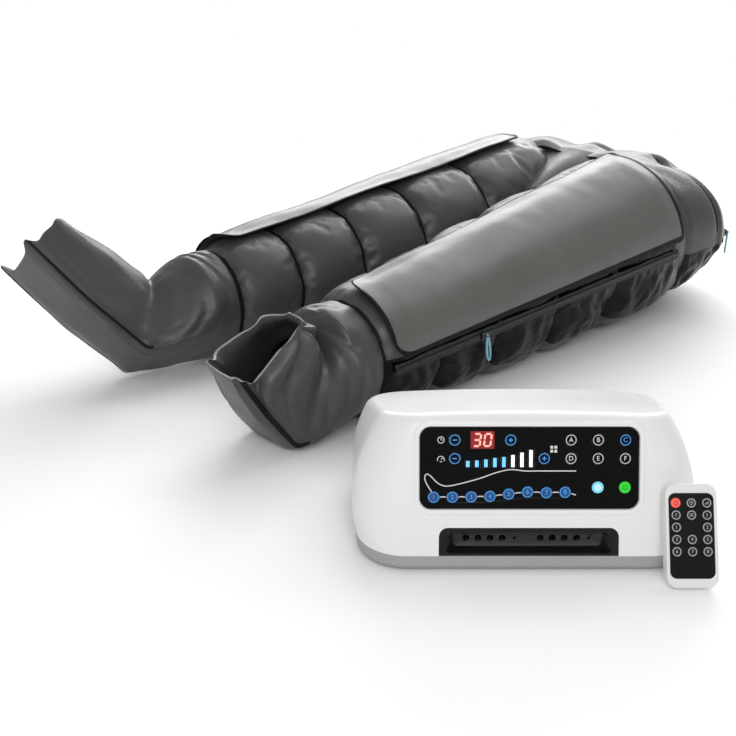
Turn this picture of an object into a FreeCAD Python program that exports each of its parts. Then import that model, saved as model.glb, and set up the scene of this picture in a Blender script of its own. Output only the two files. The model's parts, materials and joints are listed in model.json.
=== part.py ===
import FreeCAD, Part
import math
import os

import Sketcher
from FreeCAD import Placement, Rotation, Vector

# Air compression leg massager: a pair of inflatable trousers, a control console and a remote.
# Millimetres, +Z up, origin on the floor under the middle of the set, the console faces -Y.

SIZES = {
    # Where the pieces of the set stand, and how the trousers lie
    "console_x": 88.4,
    "console_y": -409,
    "remote_x": 229.8,
    "remote_ahead": 32,
    "garment_x": 384.8,
    "garment_y": 414.6,
    "garment_turn": 221.95,
    # Console casing
    "console_width": 320,
    "console_depth": 192,
    "console_corner": 46,
    "foot_height": 3,
    "foot_radius": 9,
    "foot_taper": 1.5,
    "foot_span_across": 223,
    "foot_span_deep": 144,
    "tray_height": 16,
    "tray_wall": 3,
    "tray_round": 8,
    "shell_wall": 3.5,
    "shell_rise": 136,
    "crest_height": 141,
    "crest_round": 12,
    "crown_rise": 6,
    "face_recline": 20,
    "top_fall": 15,
    "rear_draft": 6,
    # Control panel on the reclined face
    "panel_width": 197,
    "panel_height": 74,
    "panel_corner": 10,
    "panel_level": 94.2,
    "bezel_margin": 4,
    "bezel_depth": 2,
    "overlay_thick": 1.5,
    "window_ledge": 4,
    "board_thick": 1.6,
    "board_margin": 4,
    "boss_radius": 3,
    "boss_row": 20,
    "switch_radius": 3,
    "switch_height": 2,
    "switch_gap": 0.2,
    # Keys of the console
    "key_radius": 5.2,
    "key_gap": 0.25,
    "key_proud": 0.6,
    "key_chamfer": 0.4,
    "key_flange": 0.9,
    "key_flange_thick": 1.3,
    "key_seat_gap": 0.1,
    "key_travel": 0.6,
    "mode_column": 61.7,
    "mode_step": 24.4,
    "minus_column": 67.1,
    "time_plus_column": 16.9,
    "pressure_plus_column": 13.3,
    "upper_row": 25.3,
    "lower_row": 8.6,
    "power_row": 17.6,
    "chamber_first": 86,
    "chamber_step": 16.9,
    "chamber_row": 26.4,
    "chamber_lift": 4.7,
    # Display behind the panel
    "digits_width": 20,
    "digits_height": 14.5,
    "digits_column": 42.2,
    "bar_first": 55.3,
    "bar_step": 8.1,
    "bar_width": 6,
    "bar_low": 0.6,
    "bar_short": 5.9,
    "bar_growth": 9.9,
    "light_gap": 0.2,
    "light_back": 1.2,
    # Hose socket in the foot of the face
    "recess_width": 162,
    "recess_top": 43,
    "recess_round": 8,
    "recess_rim": 4,
    "recess_floor": 2,
    "recess_setback": 0.8,
    "recess_draft": 9,
    "recess_depth": 15,
    "port_radius": 3.2,
    "port_length": 12,
    "port_pitch": 11,
    "port_group": 33.8,
    "port_level": 29,
    "key_port_radius": 1.5,
    # Works inside the console
    "valve_width": 150,
    "valve_deep": 26,
    "valve_height": 30,
    "valve_pitch": 17,
    "coil_radius": 7,
    "coil_height": 22,
    "pump_width": 100,
    "pump_deep": 78,
    "pump_height": 46,
    "pump_x": 80,
    "pump_y": 9,
    "pump_foot_height": 6,
    "pump_foot_radius": 7,
    "pump_foot_inset": 14,
    "pump_head_radius": 22,
    "pump_head_spread": 25,
    "pump_head_height": 14,
    "supply_width": 110,
    "supply_deep": 78,
    "supply_x": 65,
    "supply_y": 19,
    "supply_post": 6,
    "supply_post_radius": 3,
    "supply_post_inset": 8,
    "transformer_width": 42,
    "transformer_deep": 36,
    "transformer_height": 32,
    "transformer_inset": 12,
    "capacitor_radius": 9,
    "capacitor_height": 26,
    "capacitor_pitch": 24,
    "inlet_width": 28,
    "inlet_height": 22,
    "inlet_deep": 22,
    "inlet_x": 78,
    "inlet_level": 48,
    "inlet_proud": 1.5,
    "inlet_slot_width": 16,
    "inlet_slot_height": 9,
    "inlet_slot_round": 3.5,
    "inlet_slot_deep": 14,
    "pin_radius": 1.2,
    "pin_pitch": 8.6,
    "pin_length": 11,
    # Remote
    "remote_recline": 28.5,
    "remote_width": 46,
    "remote_height": 92,
    "remote_corner": 10,
    "remote_front": 6,
    "remote_rear": 7,
    "remote_edge": 1.5,
    "remote_wall": 1.8,
    "remote_skin": 1.4,
    "face_width": 39.8,
    "face_height": 75,
    "face_corner": 6,
    "face_level": 46,
    "face_thick": 0.8,
    "remote_key_radius": 4.3,
    "remote_key_flange": 0.6,
    "remote_key_flange_thick": 0.9,
    "remote_key_travel": 0.4,
    "remote_key_proud": 0.5,
    "remote_switch_height": 0.8,
    "remote_switch_radius": 2.5,
    "remote_column": 13.7,
    "remote_row_step": 10.7,
    "remote_key_level": 53.5,
    "remote_board_thick": 1,
    "remote_post_radius": 2,
    "remote_post_inset": 6,
    "drawer_width": 27,
    "drawer_height": 25,
    "drawer_thick": 4,
    "drawer_level": 27,
    "drawer_gap": 0.2,
    "cell_radius": 10,
    "cell_thick": 2.5,
    # Trousers: waist and hips
    "waist_width": 320,
    "waist_height": 112,
    "waist_corner": 48,
    "waist_lift": 42,
    "hip_reach": 95,
    "hip_width": 426,
    "hip_height": 212,
    "hip_corner": 98,
    "yoke_length": 185,
    "yoke_wall": 18,
    "floor_lift": 0.45,
    # Trousers: legs
    "hip_station": 170,
    "leg_offset": 100,
    "leg_splay": 2.95,
    "leg_length": 564,
    "thigh_radius": 116,
    "ankle_radius": 74,
    "ankle_lift": 8,
    "stub_back": 30,
    "stub_length": 160,
    "chamber_wall": 22,
    "thigh_chamber": 120,
    "knee_chamber": 105,
    "calf_chamber": 100,
    "shin_chamber": 90,
    # Trousers: boots, measured from the end of the last chamber
    "ankle_reach": 40,
    "arch_swell": 6,
    "boot_wall": 10,
    "left_roll": 0,
    "left_heel_reach": 107,
    "left_heel_height": 3,
    "left_heel_drift": -12,
    "left_heel_width": 96,
    "left_crease_reach": 57,
    "left_crease_height": 118,
    "left_sole_reach": 188,
    "left_sole_height": 120,
    "left_toe_reach": 107,
    "left_toe_height": 152,
    "left_toe_drift": 15,
    "left_toe_width": 70,
    "right_roll": 38,
    "right_heel_reach": 129,
    "right_heel_height": 33,
    "right_heel_drift": -20,
    "right_heel_width": 95,
    "right_crease_reach": 96,
    "right_crease_height": 103,
    "right_sole_reach": 241,
    "right_sole_height": 180,
    "right_toe_reach": 186,
    "right_toe_height": 203,
    "right_toe_drift": 18,
    "right_toe_width": 106,
    # Trousers: covers, zips and pulls
    "cover_start": 34,
    "cover_end": 568,
    "cover_thick": 3,
    "cover_gap": 0.5,
    "cover_low_angle": 9,
    "cover_high_angle": 98,
    "tape_start": 45,
    "tape_end": 570,
    "tape_width": 16,
    "tape_thick": 2,
    "tape_gap": 0.3,
    "waist_tape_start": 12,
    "waist_tape_end": 88,
    "waist_tape_width": 16,
    "slider_long": 15,
    "slider_high": 10,
    "slider_thick": 5,
    "slider_rest": 430,
    "waist_slider_rest": 24,
    "pull_width": 9,
    "pull_length": 38,
    "pull_thick": 3,
    "pull_slot": 3.4,
    # How far a cut runs past the face that it opens, and the gap of a seated piece
    "overrun": 2,
    "fit_gap": 0.2,
}

# Levels and widths of the casing's sections, from the seam up
SHELL_LEVEL_SHARES = (0, 0.28, 0.62, 1)
SHELL_WIDTH_SHARES = (0.975, 1, 0.92, 0.7)
SHELL_CORNER_SHARES = (1, 1, 0.92, 0.7)
# How far each chamber key climbs with the line of the leg that it marks
CHAMBER_LIFT_SHARES = (0, 0, 0.05, 0.15, 0.6, 1, 0.85, 0.95)
# How much of the tallest bar's growth each bar has
BAR_GROWTH_SHARES = (0, 0.05, 0.14, 0.27, 0.36, 0.55, 0.77, 1)
# How far a seam draws a chamber in
SEAM_DRAW_SHARE = 0.93
# How round a boot's sections are, from the ankle to the toe
BOOT_ROUND_SHARES = (0.96, 0.96, 0.7, 0.62, 0.6)

LEFT, RIGHT = 1, -1
ACROSS, DEEP, UP = Vector(1, 0, 0), Vector(0, 1, 0), Vector(0, 0, 1)
SAME = 1e-6

DOC = FreeCAD.newDocument("LegMassager")
SUBPARTS = []


# Values from the sheet

def fill_sheet():
    """Write the driving dimensions into the document's spreadsheet."""
    sheet = DOC.addObject("Spreadsheet::Sheet", "Sizes")
    for row, (name, value) in enumerate(SIZES.items(), 1):
        sheet.set(f"A{row}", name)
        sheet.set(f"B{row}", str(value))
        sheet.setAlias(f"B{row}", name)
    DOC.recompute()
    return sheet


SHEET = fill_sheet()


def size(name):
    """Value of one cell of the sheet."""
    return float(SHEET.get(name))


def terms(text):
    """Split a sum such as 'a - 0.5*b' into pairs of a factor and a sheet name."""
    pairs = []
    sign = 1
    for word in text.split():
        if word in ("+", "-"):
            sign = 1 if word == "+" else -1
            continue
        *factors, name = word.split("*")
        pairs.append((sign * math.prod(float(factor) for factor in factors), name))
        sign = 1
    return pairs


def total(text):
    """Value of a sum of sheet names. An empty text is zero."""
    return sum(factor * size(name) for factor, name in terms(text))


def less(text):
    """The same sum with every sign turned."""
    return " ".join(f"{'-' if factor > 0 else '+'} {abs(factor)}*{name}" for factor, name in terms(text))


def bind(item, prop, text):
    """Tie a property of a document object to a sum of sheet names."""
    if text:
        item.setExpression(prop, " + ".join(f"{factor} * Sizes.{name}" for factor, name in terms(text)))


def slope(name):
    """Tangent of an angle in the sheet."""
    return math.tan(math.radians(size(name)))


# Document objects

def subpart(item, label, placement):
    """Name and place a finished sub-part and list it for writing."""
    item.Label = label
    item.Placement = placement
    SUBPARTS.append(item)
    return item


def shaped(label, shape, placement):
    """Sub-part whose shape is worked out with Part's own functions."""
    item = DOC.addObject("Part::Feature", label)
    item.Shape = shape
    return subpart(item, label, placement)


def box(name, long, deep, high, corner):
    """Part::Box with bound sides and a bound low corner."""
    item = DOC.addObject("Part::Box", name)
    for prop, text in zip(("Length", "Width", "Height"), (long, deep, high)):
        bind(item, prop, text)
    for axis, text in zip("xyz", corner):
        bind(item, f"Placement.Base.{axis}", text)
    return item


def cylinder(name, radius, high, foot):
    """Upright Part::Cylinder with bound sizes and place."""
    item = DOC.addObject("Part::Cylinder", name)
    bind(item, "Radius", radius)
    bind(item, "Height", high)
    for axis, text in zip("xyz", foot):
        bind(item, f"Placement.Base.{axis}", text)
    return item


def fused(label, pieces, placement):
    """Sub-part made of several primitives."""
    item = DOC.addObject("Part::MultiFuse", label)
    item.Shapes = pieces
    return subpart(item, label, placement)


def new_body(label):
    return DOC.addObject("PartDesign::Body", label)


def new_sketch(body, name, level="", role="XY_Plane"):
    """Sketch on one of the body's own origin planes, lifted off it by a bound level."""
    plane = next(item for item in body.Origin.OriginFeatures if item.Role == role)
    sketch = body.newObject("Sketcher::SketchObject", name)
    sketch.AttachmentSupport = [(plane, "")]
    sketch.MapMode = "FlatFace"
    bind(sketch, "AttachmentOffset.Base.z", level)
    return sketch


def hold_point(sketch, item, point, across, up):
    """Fix a point of a sketch at a bound place."""
    for kind, text in (("DistanceX", across), ("DistanceY", up)):
        index = sketch.addConstraint(Sketcher.Constraint(kind, -1, 1, item, point, total(text)))
        bind(sketch, f"Constraints[{index}]", text)


def hold_radius(sketch, item, radius):
    index = sketch.addConstraint(Sketcher.Constraint("Radius", item, total(radius)))
    bind(sketch, f"Constraints[{index}]", radius)


def draw_polygon(sketch, corners):
    """Closed outline through bound corners."""
    spots = [Vector(total(across), total(up), 0) for across, up in corners]
    lines = [sketch.addGeometry(Part.LineSegment(start, end), False)
             for start, end in zip(spots, spots[1:] + spots[:1])]
    for line, after in zip(lines, lines[1:] + lines[:1]):
        sketch.addConstraint(Sketcher.Constraint("Coincident", line, 2, after, 1))
    for line, (across, up) in zip(lines, corners):
        hold_point(sketch, line, 1, across, up)


def draw_rectangle(sketch, width, height, across="", up=""):
    """Sharp rectangle about a bound centre."""
    left, right = f"{across} - 0.5*{width}", f"{across} + 0.5*{width}"
    low, high = f"{up} - 0.5*{height}", f"{up} + 0.5*{height}"
    draw_polygon(sketch, ((left, low), (right, low), (right, high), (left, high)))


def draw_rounded(sketch, half_width, half_height, radius, up=""):
    """Rounded rectangle about a bound centre, from bound half sizes."""
    x, y, r = total(half_width), total(half_height), total(radius)
    middle = total(up)
    items = []
    for turn in range(4):
        along, out = ((x, y), (y, x))[turn % 2]
        spin = Rotation(UP, 90 * turn)
        ends = [spin.multVec(Vector(step * (along - r), -out, 0)) + UP.cross(ACROSS) * middle for step in (-1, 1)]
        items.append(sketch.addGeometry(Part.LineSegment(*ends), False))
        centre = ends[1] + spin.multVec(Vector(0, r, 0))
        first = math.radians(90 * (turn - 1))
        arc = Part.ArcOfCircle(Part.Circle(centre, UP, r), first, first + math.pi / 2)
        items.append(sketch.addGeometry(arc, False))
    for item, after in zip(items, items[1:] + items[:1]):
        sketch.addConstraint(Sketcher.Constraint("Tangent", item, 2, after, 1))
    for line, kind in zip(items[::2], ("Horizontal", "Vertical", "Horizontal", "Vertical")):
        sketch.addConstraint(Sketcher.Constraint(kind, line))
    for arc in items[3::2]:
        sketch.addConstraint(Sketcher.Constraint("Equal", items[1], arc))
    hold_radius(sketch, items[1], radius)
    bottom, right, top, left = items[::2]
    for kind, line, text in (("DistanceX", right, half_width), ("DistanceX", left, less(half_width)),
                             ("DistanceY", top, f"{up} + {half_height}"),
                             ("DistanceY", bottom, f"{up} {less(half_height)}")):
        index = sketch.addConstraint(Sketcher.Constraint(kind, -1, 1, line, 1, total(text)))
        bind(sketch, f"Constraints[{index}]", text)


def draw_circles(sketch, centres, radius):
    """Circles of one bound radius about bound centres."""
    for across, up in centres:
        spot = Vector(total(across), total(up), 0)
        item = sketch.addGeometry(Part.Circle(spot, UP, total(radius)), False)
        hold_point(sketch, item, 3, across, up)
        hold_radius(sketch, item, radius)


def pad(body, sketch, name, length, reverse=False):
    feature = body.newObject("PartDesign::Pad", name)
    feature.Profile = sketch
    feature.Reversed = reverse
    bind(feature, "Length", length)
    return feature


def pocket(body, sketch, name, length, reverse=False):
    feature = body.newObject("PartDesign::Pocket", name)
    feature.Profile = sketch
    feature.Reversed = reverse
    bind(feature, "Length", length)
    return feature


def round_edges(body, base, name, radius, wanted):
    """Fillet on the edges of a feature that a test picks out."""
    DOC.recompute()
    names = [f"Edge{number}" for number, edge in enumerate(base.Shape.Edges, 1) if wanted(edge)]
    feature = body.newObject("PartDesign::Fillet", name)
    feature.Base = (base, names)
    bind(feature, "Radius", radius)
    return feature


def at_level(level):
    """Test for edges that lie wholly at one level."""
    return lambda edge: all(abs(vertex.Z - level) < SAME for vertex in edge.Vertexes)


# Outlines and solids for the moulded and the soft pieces

def rounded_wire(width, height, radius):
    """Rounded rectangle about the origin, of four lines and four quarter arcs."""
    edges = []
    for turn in range(4):
        along, out = ((width, height), (height, width))[turn % 2]
        spin = Rotation(UP, 90 * turn)
        start, end = (spin.multVec(Vector(step * (along / 2 - radius), -out / 2, 0)) for step in (-1, 1))
        edges.append(Part.LineSegment(start, end).toShape())
        centre = end + spin.multVec(Vector(0, radius, 0))
        middle = centre + spin.multVec(Vector(1, -1, 0)).normalize() * radius
        stop = centre + spin.multVec(Vector(radius, 0, 0))
        edges.append(Part.Arc(end, middle, stop).toShape())
    return Part.Wire(edges)


def round_wire(radius):
    """Circle about the origin, of four quarter arcs."""
    edges = []
    for turn in range(4):
        start, middle, end = (Rotation(UP, 90 * turn + step).multVec(ACROSS) * radius for step in (0, 45, 90))
        edges.append(Part.Arc(start, middle, end).toShape())
    return Part.Wire(edges)


def placed(shape, placement):
    """Copy of a shape, moved by a placement."""
    copy = shape.copy()
    copy.transformShape(placement.toMatrix())
    return copy


def rounded_plate(width, height, radius, low, high):
    """Rounded plate about the Z axis between two levels."""
    face = Part.Face(placed(rounded_wire(width, height, radius), Placement(UP * low, Rotation())))
    return face.extrude(UP * (high - low))


# Frames that the pieces are built in

def console_place():
    return Placement(Vector(size("console_x"), size("console_y"), 0), Rotation())


def seam_level():
    return total("foot_height + tray_height")


def face_y(level):
    """Where the reclined face lies, in the console's frame, at a height above the floor."""
    return -size("console_depth") / 2 + (level - seam_level()) * slope("face_recline")


def panel_frame():
    """Frame on the face: X to the right, Y up the slope, Z out of the panel."""
    spot = Vector(0, face_y(size("panel_level")), size("panel_level"))
    return Placement(spot, Rotation(ACROSS, 90 - size("face_recline")))


def panel_place():
    return console_place() * panel_frame()


def remote_place():
    """Frame on the leaning remote's face: X to the right, Y up the face, Z out of it."""
    lean = size("remote_recline")
    heel = total("remote_front + remote_rear") * math.sin(math.radians(lean))
    spot = Vector(size("remote_x"), total("console_y - 0.5*console_depth - remote_ahead"), heel)
    return Placement(spot, Rotation(ACROSS, 90 - lean))


def garment_place():
    """Frame of the trousers: X from the waist to the feet, Y to the wearer's left."""
    return Placement(Vector(size("garment_x"), size("garment_y"), 0), Rotation(UP, size("garment_turn")))


def leg_frame(side):
    """Frame of one leg inside the trousers' frame: X down the leg from the hip."""
    spot = Vector(size("hip_station"), side * size("leg_offset"), 0)
    return Placement(spot, Rotation(UP, side * size("leg_splay")))


def leg_place(side):
    return garment_place() * leg_frame(side)


# Console casing

def rear_y(level):
    return size("console_depth") / 2 - (level - seam_level()) * slope("rear_draft")


def crown_block(inset):
    """Everything under the console's crowned top, which falls towards the back."""
    width, crest = size("console_width"), size("crest_height")
    start = -size("console_depth")
    top = crest - inset + (face_y(crest) - start) * slope("top_fall")
    shoulder = top - size("crown_rise")
    left, right = Vector(-width / 2, start, shoulder), Vector(width / 2, start, shoulder)
    low_right, low_left = Vector(width / 2, start, -crest), Vector(-width / 2, start, -crest)
    edges = [Part.Arc(left, Vector(0, start, top), right).toShape()]
    for ends in ((right, low_right), (low_right, low_left), (low_left, left)):
        edges.append(Part.LineSegment(*ends).toShape())
    reach = Vector(0, 1, -slope("top_fall")) * 2 * size("console_depth")
    return Part.Face(Part.Wire(edges)).extrude(reach)


def console_solid(inset):
    """Outside of the casing above its seam, or its inside at a wall's distance."""
    wires = []
    for level_share, width_share, corner_share in zip(SHELL_LEVEL_SHARES, SHELL_WIDTH_SHARES, SHELL_CORNER_SHARES):
        level = seam_level() + level_share * size("shell_rise")
        front, rear = face_y(level) + inset, rear_y(level) - inset
        wire = rounded_wire(width_share * size("console_width") - 2 * inset, rear - front,
                            corner_share * size("console_corner") - inset)
        wires.append(placed(wire, Placement(Vector(0, (front + rear) / 2, level), Rotation())))
    block = Part.makeLoft(wires, True, False).common(crown_block(inset))
    top = max(block.Faces, key=lambda face: face.CenterOfMass.z)
    return block.makeFillet(size("crest_round") - inset, top.OuterWire.Edges)


def recess_block(gap, front, back):
    """Block with rounded upper corners that the hose socket fills."""
    half, radius = size("recess_width") / 2 + gap, size("recess_round") + gap
    low, top = seam_level(), size("recess_top") + gap
    lean = radius * math.sqrt(0.5)
    foot_left, foot_right = Vector(-half, front, low), Vector(half, front, low)
    side_right, side_left = Vector(half, front, top - radius), Vector(-half, front, top - radius)
    top_right, top_left = Vector(half - radius, front, top), Vector(radius - half, front, top)
    bend_right = Vector(half - radius + lean, front, top - radius + lean)
    bend_left = Vector(radius - half - lean, front, top - radius + lean)
    edges = [Part.LineSegment(foot_left, foot_right), Part.LineSegment(foot_right, side_right),
             Part.Arc(side_right, bend_right, top_right), Part.LineSegment(top_right, top_left),
             Part.Arc(top_left, bend_left, side_left), Part.LineSegment(side_left, foot_left)]
    return Part.Face(Part.Wire([edge.toShape() for edge in edges])).extrude(DEEP * (back - front))


def inlet_block(gap, back):
    """Block about the mains inlet's place in the back wall."""
    width, height = size("inlet_width") + 2 * gap, size("inlet_height") + 2 * gap
    front = inlet_face() - size("inlet_deep")
    low = Vector(size("inlet_x") - width / 2, front, size("inlet_level") - height / 2)
    return Part.makeBox(width, back - front, height, low)


def inlet_face():
    return rear_y(size("inlet_level")) + size("inlet_proud")


def console_upper_shell():
    """White moulded casing with the panel's seat, the socket's opening and the inlet's opening."""
    shape = console_solid(0).cut(console_solid(size("shell_wall")))
    panel = panel_frame()
    margin, ledge = size("bezel_margin"), size("window_ledge")
    width, height, radius = size("panel_width"), size("panel_height"), size("panel_corner")
    seat = rounded_plate(width + 2 * margin, height + 2 * margin, radius + margin,
                         -size("bezel_depth"), size("overrun"))
    window = rounded_plate(width - 2 * ledge, height - 2 * ledge, radius - ledge,
                           -total("shell_wall + overrun"), size("overrun"))
    for tool in (seat, window):
        shape = shape.cut(placed(tool, panel))
    shape = shape.cut(recess_block(size("fit_gap"), -size("console_depth"), face_y(seam_level()) + port_back()))
    shape = shape.cut(inlet_block(size("fit_gap"), size("console_depth")))
    root = -size("bezel_depth") - total("overlay_thick") / 2
    for across in (-1, 1):
        for up in (-1, 1):
            spot = Vector(across * (width / 2 + margin / 2), up * size("boss_row"), board_face())
            boss = Part.makeCylinder(size("boss_radius"), root - board_face(), spot)
            shape = shape.fuse(placed(boss, panel))
    shaped("console_upper_shell", shape.removeSplitter(), console_place())


def console_base_tray():
    """Grey tray that the casing stands on, rounded underneath."""
    body = new_body("console_base_tray")
    outline = new_sketch(body, "tray_outline", "foot_height")
    draw_rounded(outline, f"{0.5 * SHELL_WIDTH_SHARES[0]}*console_width", "0.5*console_depth", "console_corner")
    block = pad(body, outline, "tray_block", "tray_height")
    block = round_edges(body, block, "tray_underside", "tray_round", at_level(size("foot_height")))
    inside = new_sketch(body, "tray_inside", "foot_height + tray_height")
    draw_rounded(inside, f"{0.5 * SHELL_WIDTH_SHARES[0]}*console_width - tray_wall",
                 "0.5*console_depth - tray_wall", "console_corner - tray_wall")
    pocket(body, inside, "tray_hollow", "tray_height - tray_wall")
    subpart(body, "console_base_tray", console_place())


def rubber_feet():
    """Four feet under the tray."""
    feet = []
    for across in "-+":
        for deep in "-+":
            foot = DOC.addObject("Part::Cone", "foot")
            bind(foot, "Radius1", "foot_radius - foot_taper")
            bind(foot, "Radius2", "foot_radius")
            bind(foot, "Height", "foot_height")
            bind(foot, "Placement.Base.x", f"{across} 0.5*foot_span_across")
            bind(foot, "Placement.Base.y", f"{deep} 0.5*foot_span_deep")
            feet.append(foot)
    fused("rubber_feet", feet, console_place())


# Control panel

def console_keys():
    """Name and bound place on the panel of every key."""
    keys = [("key_time_minus", "- minus_column", "upper_row"),
            ("key_time_plus", "- time_plus_column", "upper_row"),
            ("key_pressure_minus", "- minus_column", "lower_row"),
            ("key_pressure_plus", "pressure_plus_column", "lower_row")]
    for letters, row in (("abc", "upper_row"), ("def", "lower_row")):
        for letter, column in zip(letters, ("mode_column - mode_step", "mode_column", "mode_column + mode_step")):
            keys.append((f"key_mode_{letter}", column, row))
    for index, share in enumerate(CHAMBER_LIFT_SHARES):
        keys.append((f"key_chamber_{index + 1}", f"- chamber_first + {index}*chamber_step",
                     f"- chamber_row + {share}*chamber_lift"))
    keys.append(("key_start_pause", "mode_column", "- power_row"))
    keys.append(("key_power", "mode_column + mode_step", "- power_row"))
    return keys


def light_bars():
    """Bound column and height of each bar of the pressure display."""
    return [(f"- bar_first + {index}*bar_step", f"bar_short + {share}*bar_growth")
            for index, share in enumerate(BAR_GROWTH_SHARES)]


def board_face():
    """Level of the control board's face under the panel."""
    return -total("bezel_depth + key_seat_gap + key_flange_thick + key_travel + switch_gap + switch_height")


def panel_overlay():
    """Black panel with holes for the keys, the figures and the bars."""
    body = new_body("panel_overlay")
    outline = new_sketch(body, "overlay_outline", "- bezel_depth")
    draw_rounded(outline, "0.5*panel_width", "0.5*panel_height", "panel_corner")
    pad(body, outline, "overlay_plate", "overlay_thick")
    holes = new_sketch(body, "overlay_holes", "- bezel_depth")
    draw_circles(holes, [key[1:] for key in console_keys()], "key_radius + key_gap")
    pocket(body, holes, "overlay_key_holes", "overlay_thick", True)
    windows = new_sketch(body, "overlay_windows", "- bezel_depth")
    light_window(windows, "digits_column", "digits_width", "upper_row", "digits_height")
    for column, height in light_bars():
        low, high = "bar_low - light_gap", f"bar_low + {height} + light_gap"
        left, right = f"{column} - 0.5*bar_width - light_gap", f"{column} + 0.5*bar_width + light_gap"
        draw_polygon(windows, ((left, low), (right, low), (right, high), (left, high)))
    pocket(body, windows, "overlay_light_windows", "overlay_thick", True)
    subpart(body, "panel_overlay", panel_place())


def light_window(sketch, column, width, row, height):
    """Window for the figures, with a gap all round."""
    left, right = f"- {column} - 0.5*{width} - light_gap", f"- {column} + 0.5*{width} + light_gap"
    low, high = f"{row} - 0.5*{height} - light_gap", f"{row} + 0.5*{height} + light_gap"
    draw_polygon(sketch, ((left, low), (right, low), (right, high), (left, high)))


def display_module():
    """Lit figures and eight rising bars on one carrier."""
    back = "- bezel_depth - key_seat_gap - key_flange_thick - key_travel - switch_gap - switch_height"
    rise = "key_seat_gap + key_flange_thick + key_travel + switch_gap + switch_height"
    figures = ("- digits_column - 0.5*digits_width", "upper_row - 0.5*digits_height", back)
    pieces = [box("digits_light", "digits_width", "digits_height", f"{rise} + overlay_thick", figures)]
    for column, height in light_bars():
        spot = (f"{column} - 0.5*bar_width", "bar_low", back)
        pieces.append(box("bar_light", "bar_width", height, f"{rise} + overlay_thick", spot))
    carrier = ("- bar_first - 0.5*bar_width", "bar_low", back)
    pieces.append(box("bar_carrier", "7*bar_step + bar_width", "bar_short + bar_growth",
                      f"{rise} - light_back", carrier))
    neck = ("- digits_column - 0.5*digits_width", "bar_low", back)
    pieces.append(box("figure_carrier", "digits_width", "upper_row - bar_low", f"{rise} - light_back", neck))
    fused("display_module", pieces, panel_place())


def control_board():
    """Circuit board behind the panel with a switch under every key."""
    face = "- bezel_depth - key_seat_gap - key_flange_thick - key_travel - switch_gap - switch_height"
    body = new_body("control_board")
    outline = new_sketch(body, "board_outline", f"{face} - board_thick")
    draw_rounded(outline, "0.5*panel_width + board_margin", "0.5*panel_height - board_margin", "panel_corner")
    pad(body, outline, "board_plate", "board_thick")
    switches = new_sketch(body, "board_switches", face)
    draw_circles(switches, [key[1:] for key in console_keys()], "switch_radius")
    pad(body, switches, "board_switch_row", "switch_height")
    subpart(body, "control_board", panel_place())


def turned_key(label, profile, spot, frame):
    """Key turned about its own axis, from bound radii and levels."""
    body = new_body(label)
    sketch = new_sketch(body, "key_profile", role="XZ_Plane")
    draw_polygon(sketch, profile)
    turned = body.newObject("PartDesign::Revolution", "key_turned")
    turned.Profile = sketch
    turned.ReferenceAxis = (sketch, ["V_Axis"])
    subpart(body, label, frame * Placement(Vector(total(spot[0]), total(spot[1]), 0), Rotation()))


def panel_keys():
    """Keys held by a flange behind the panel, each over its switch."""
    seat = "- bezel_depth - key_seat_gap"
    back = f"{seat} - key_flange_thick"
    top = "- bezel_depth + overlay_thick + key_proud"
    profile = (("", back), ("key_radius + key_flange", back), ("key_radius + key_flange", seat),
               ("key_radius", seat), ("key_radius", f"{top} - key_chamfer"),
               ("key_radius - key_chamfer", top), ("", top))
    for label, across, up in console_keys():
        turned_key(label, profile, (across, up), panel_place())


# Hose socket and works

def port_back():
    return total("recess_depth + port_length")


def hose_ports():
    """Places across the socket of the four hose ports of each group, and of its small key port."""
    pitch, group = size("port_pitch"), size("port_group")
    ports, key_ports = [], []
    for side in (-1, 1):
        first = side * group - 2 * pitch
        ports += [first + step * pitch for step in range(4)]
        key_ports.append(first + 4 * pitch)
    return ports, key_ports


def hose_socket_block():
    """Black socket with a tapered mouth and two groups of air ports in its back."""
    front, face = -size("console_depth"), face_y(seam_level()) + size("recess_depth")
    shape = recess_block(0, front, face + size("port_length"))
    reach = 2 * size("console_width")
    trim = Part.makeBox(reach, reach, reach, Vector(-reach / 2, -reach / 2, -size("recess_setback")))
    shape = shape.cut(placed(trim, panel_frame()))
    rim, low, top = size("recess_rim"), seam_level() + size("recess_floor"), total("recess_top - recess_rim")
    radius = size("recess_round") - rim
    wires = []
    mouth = face_y(seam_level()) - size("overrun")
    for place, draft in ((mouth, 0), (face, size("recess_draft"))):
        wire = rounded_wire(size("recess_width") - 2 * (rim + draft), top - low, radius)
        wires.append(placed(wire, Placement(Vector(0, place, (low + top) / 2), Rotation(ACROSS, 90))))
    shape = shape.cut(Part.makeLoft(wires, True, True))
    ports, key_ports = hose_ports()
    for places, radius in ((ports, size("port_radius")), (key_ports, size("key_port_radius"))):
        for across in places:
            spot = Vector(across, face - size("overrun"), size("port_level"))
            shape = shape.cut(Part.makeCylinder(radius, total("port_length + 2*overrun"), spot, DEEP))
    shaped("hose_socket_block", shape, console_place())


def valve_manifold():
    """Block of eight air valves behind the socket."""
    floor = "foot_height + tray_wall"
    front = "- 0.5*console_depth + recess_depth + port_length + fit_gap"
    pieces = [box("valve_block", "valve_width", "valve_deep", "valve_height", ("- 0.5*valve_width", front, floor))]
    for index in range(8):
        spot = (f"{index - 3.5}*valve_pitch", f"{front} + 0.5*valve_deep", f"{floor} + valve_height")
        pieces.append(cylinder("valve_coil", "coil_radius", "coil_height", spot))
    fused("valve_manifold", pieces, console_place())


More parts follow.
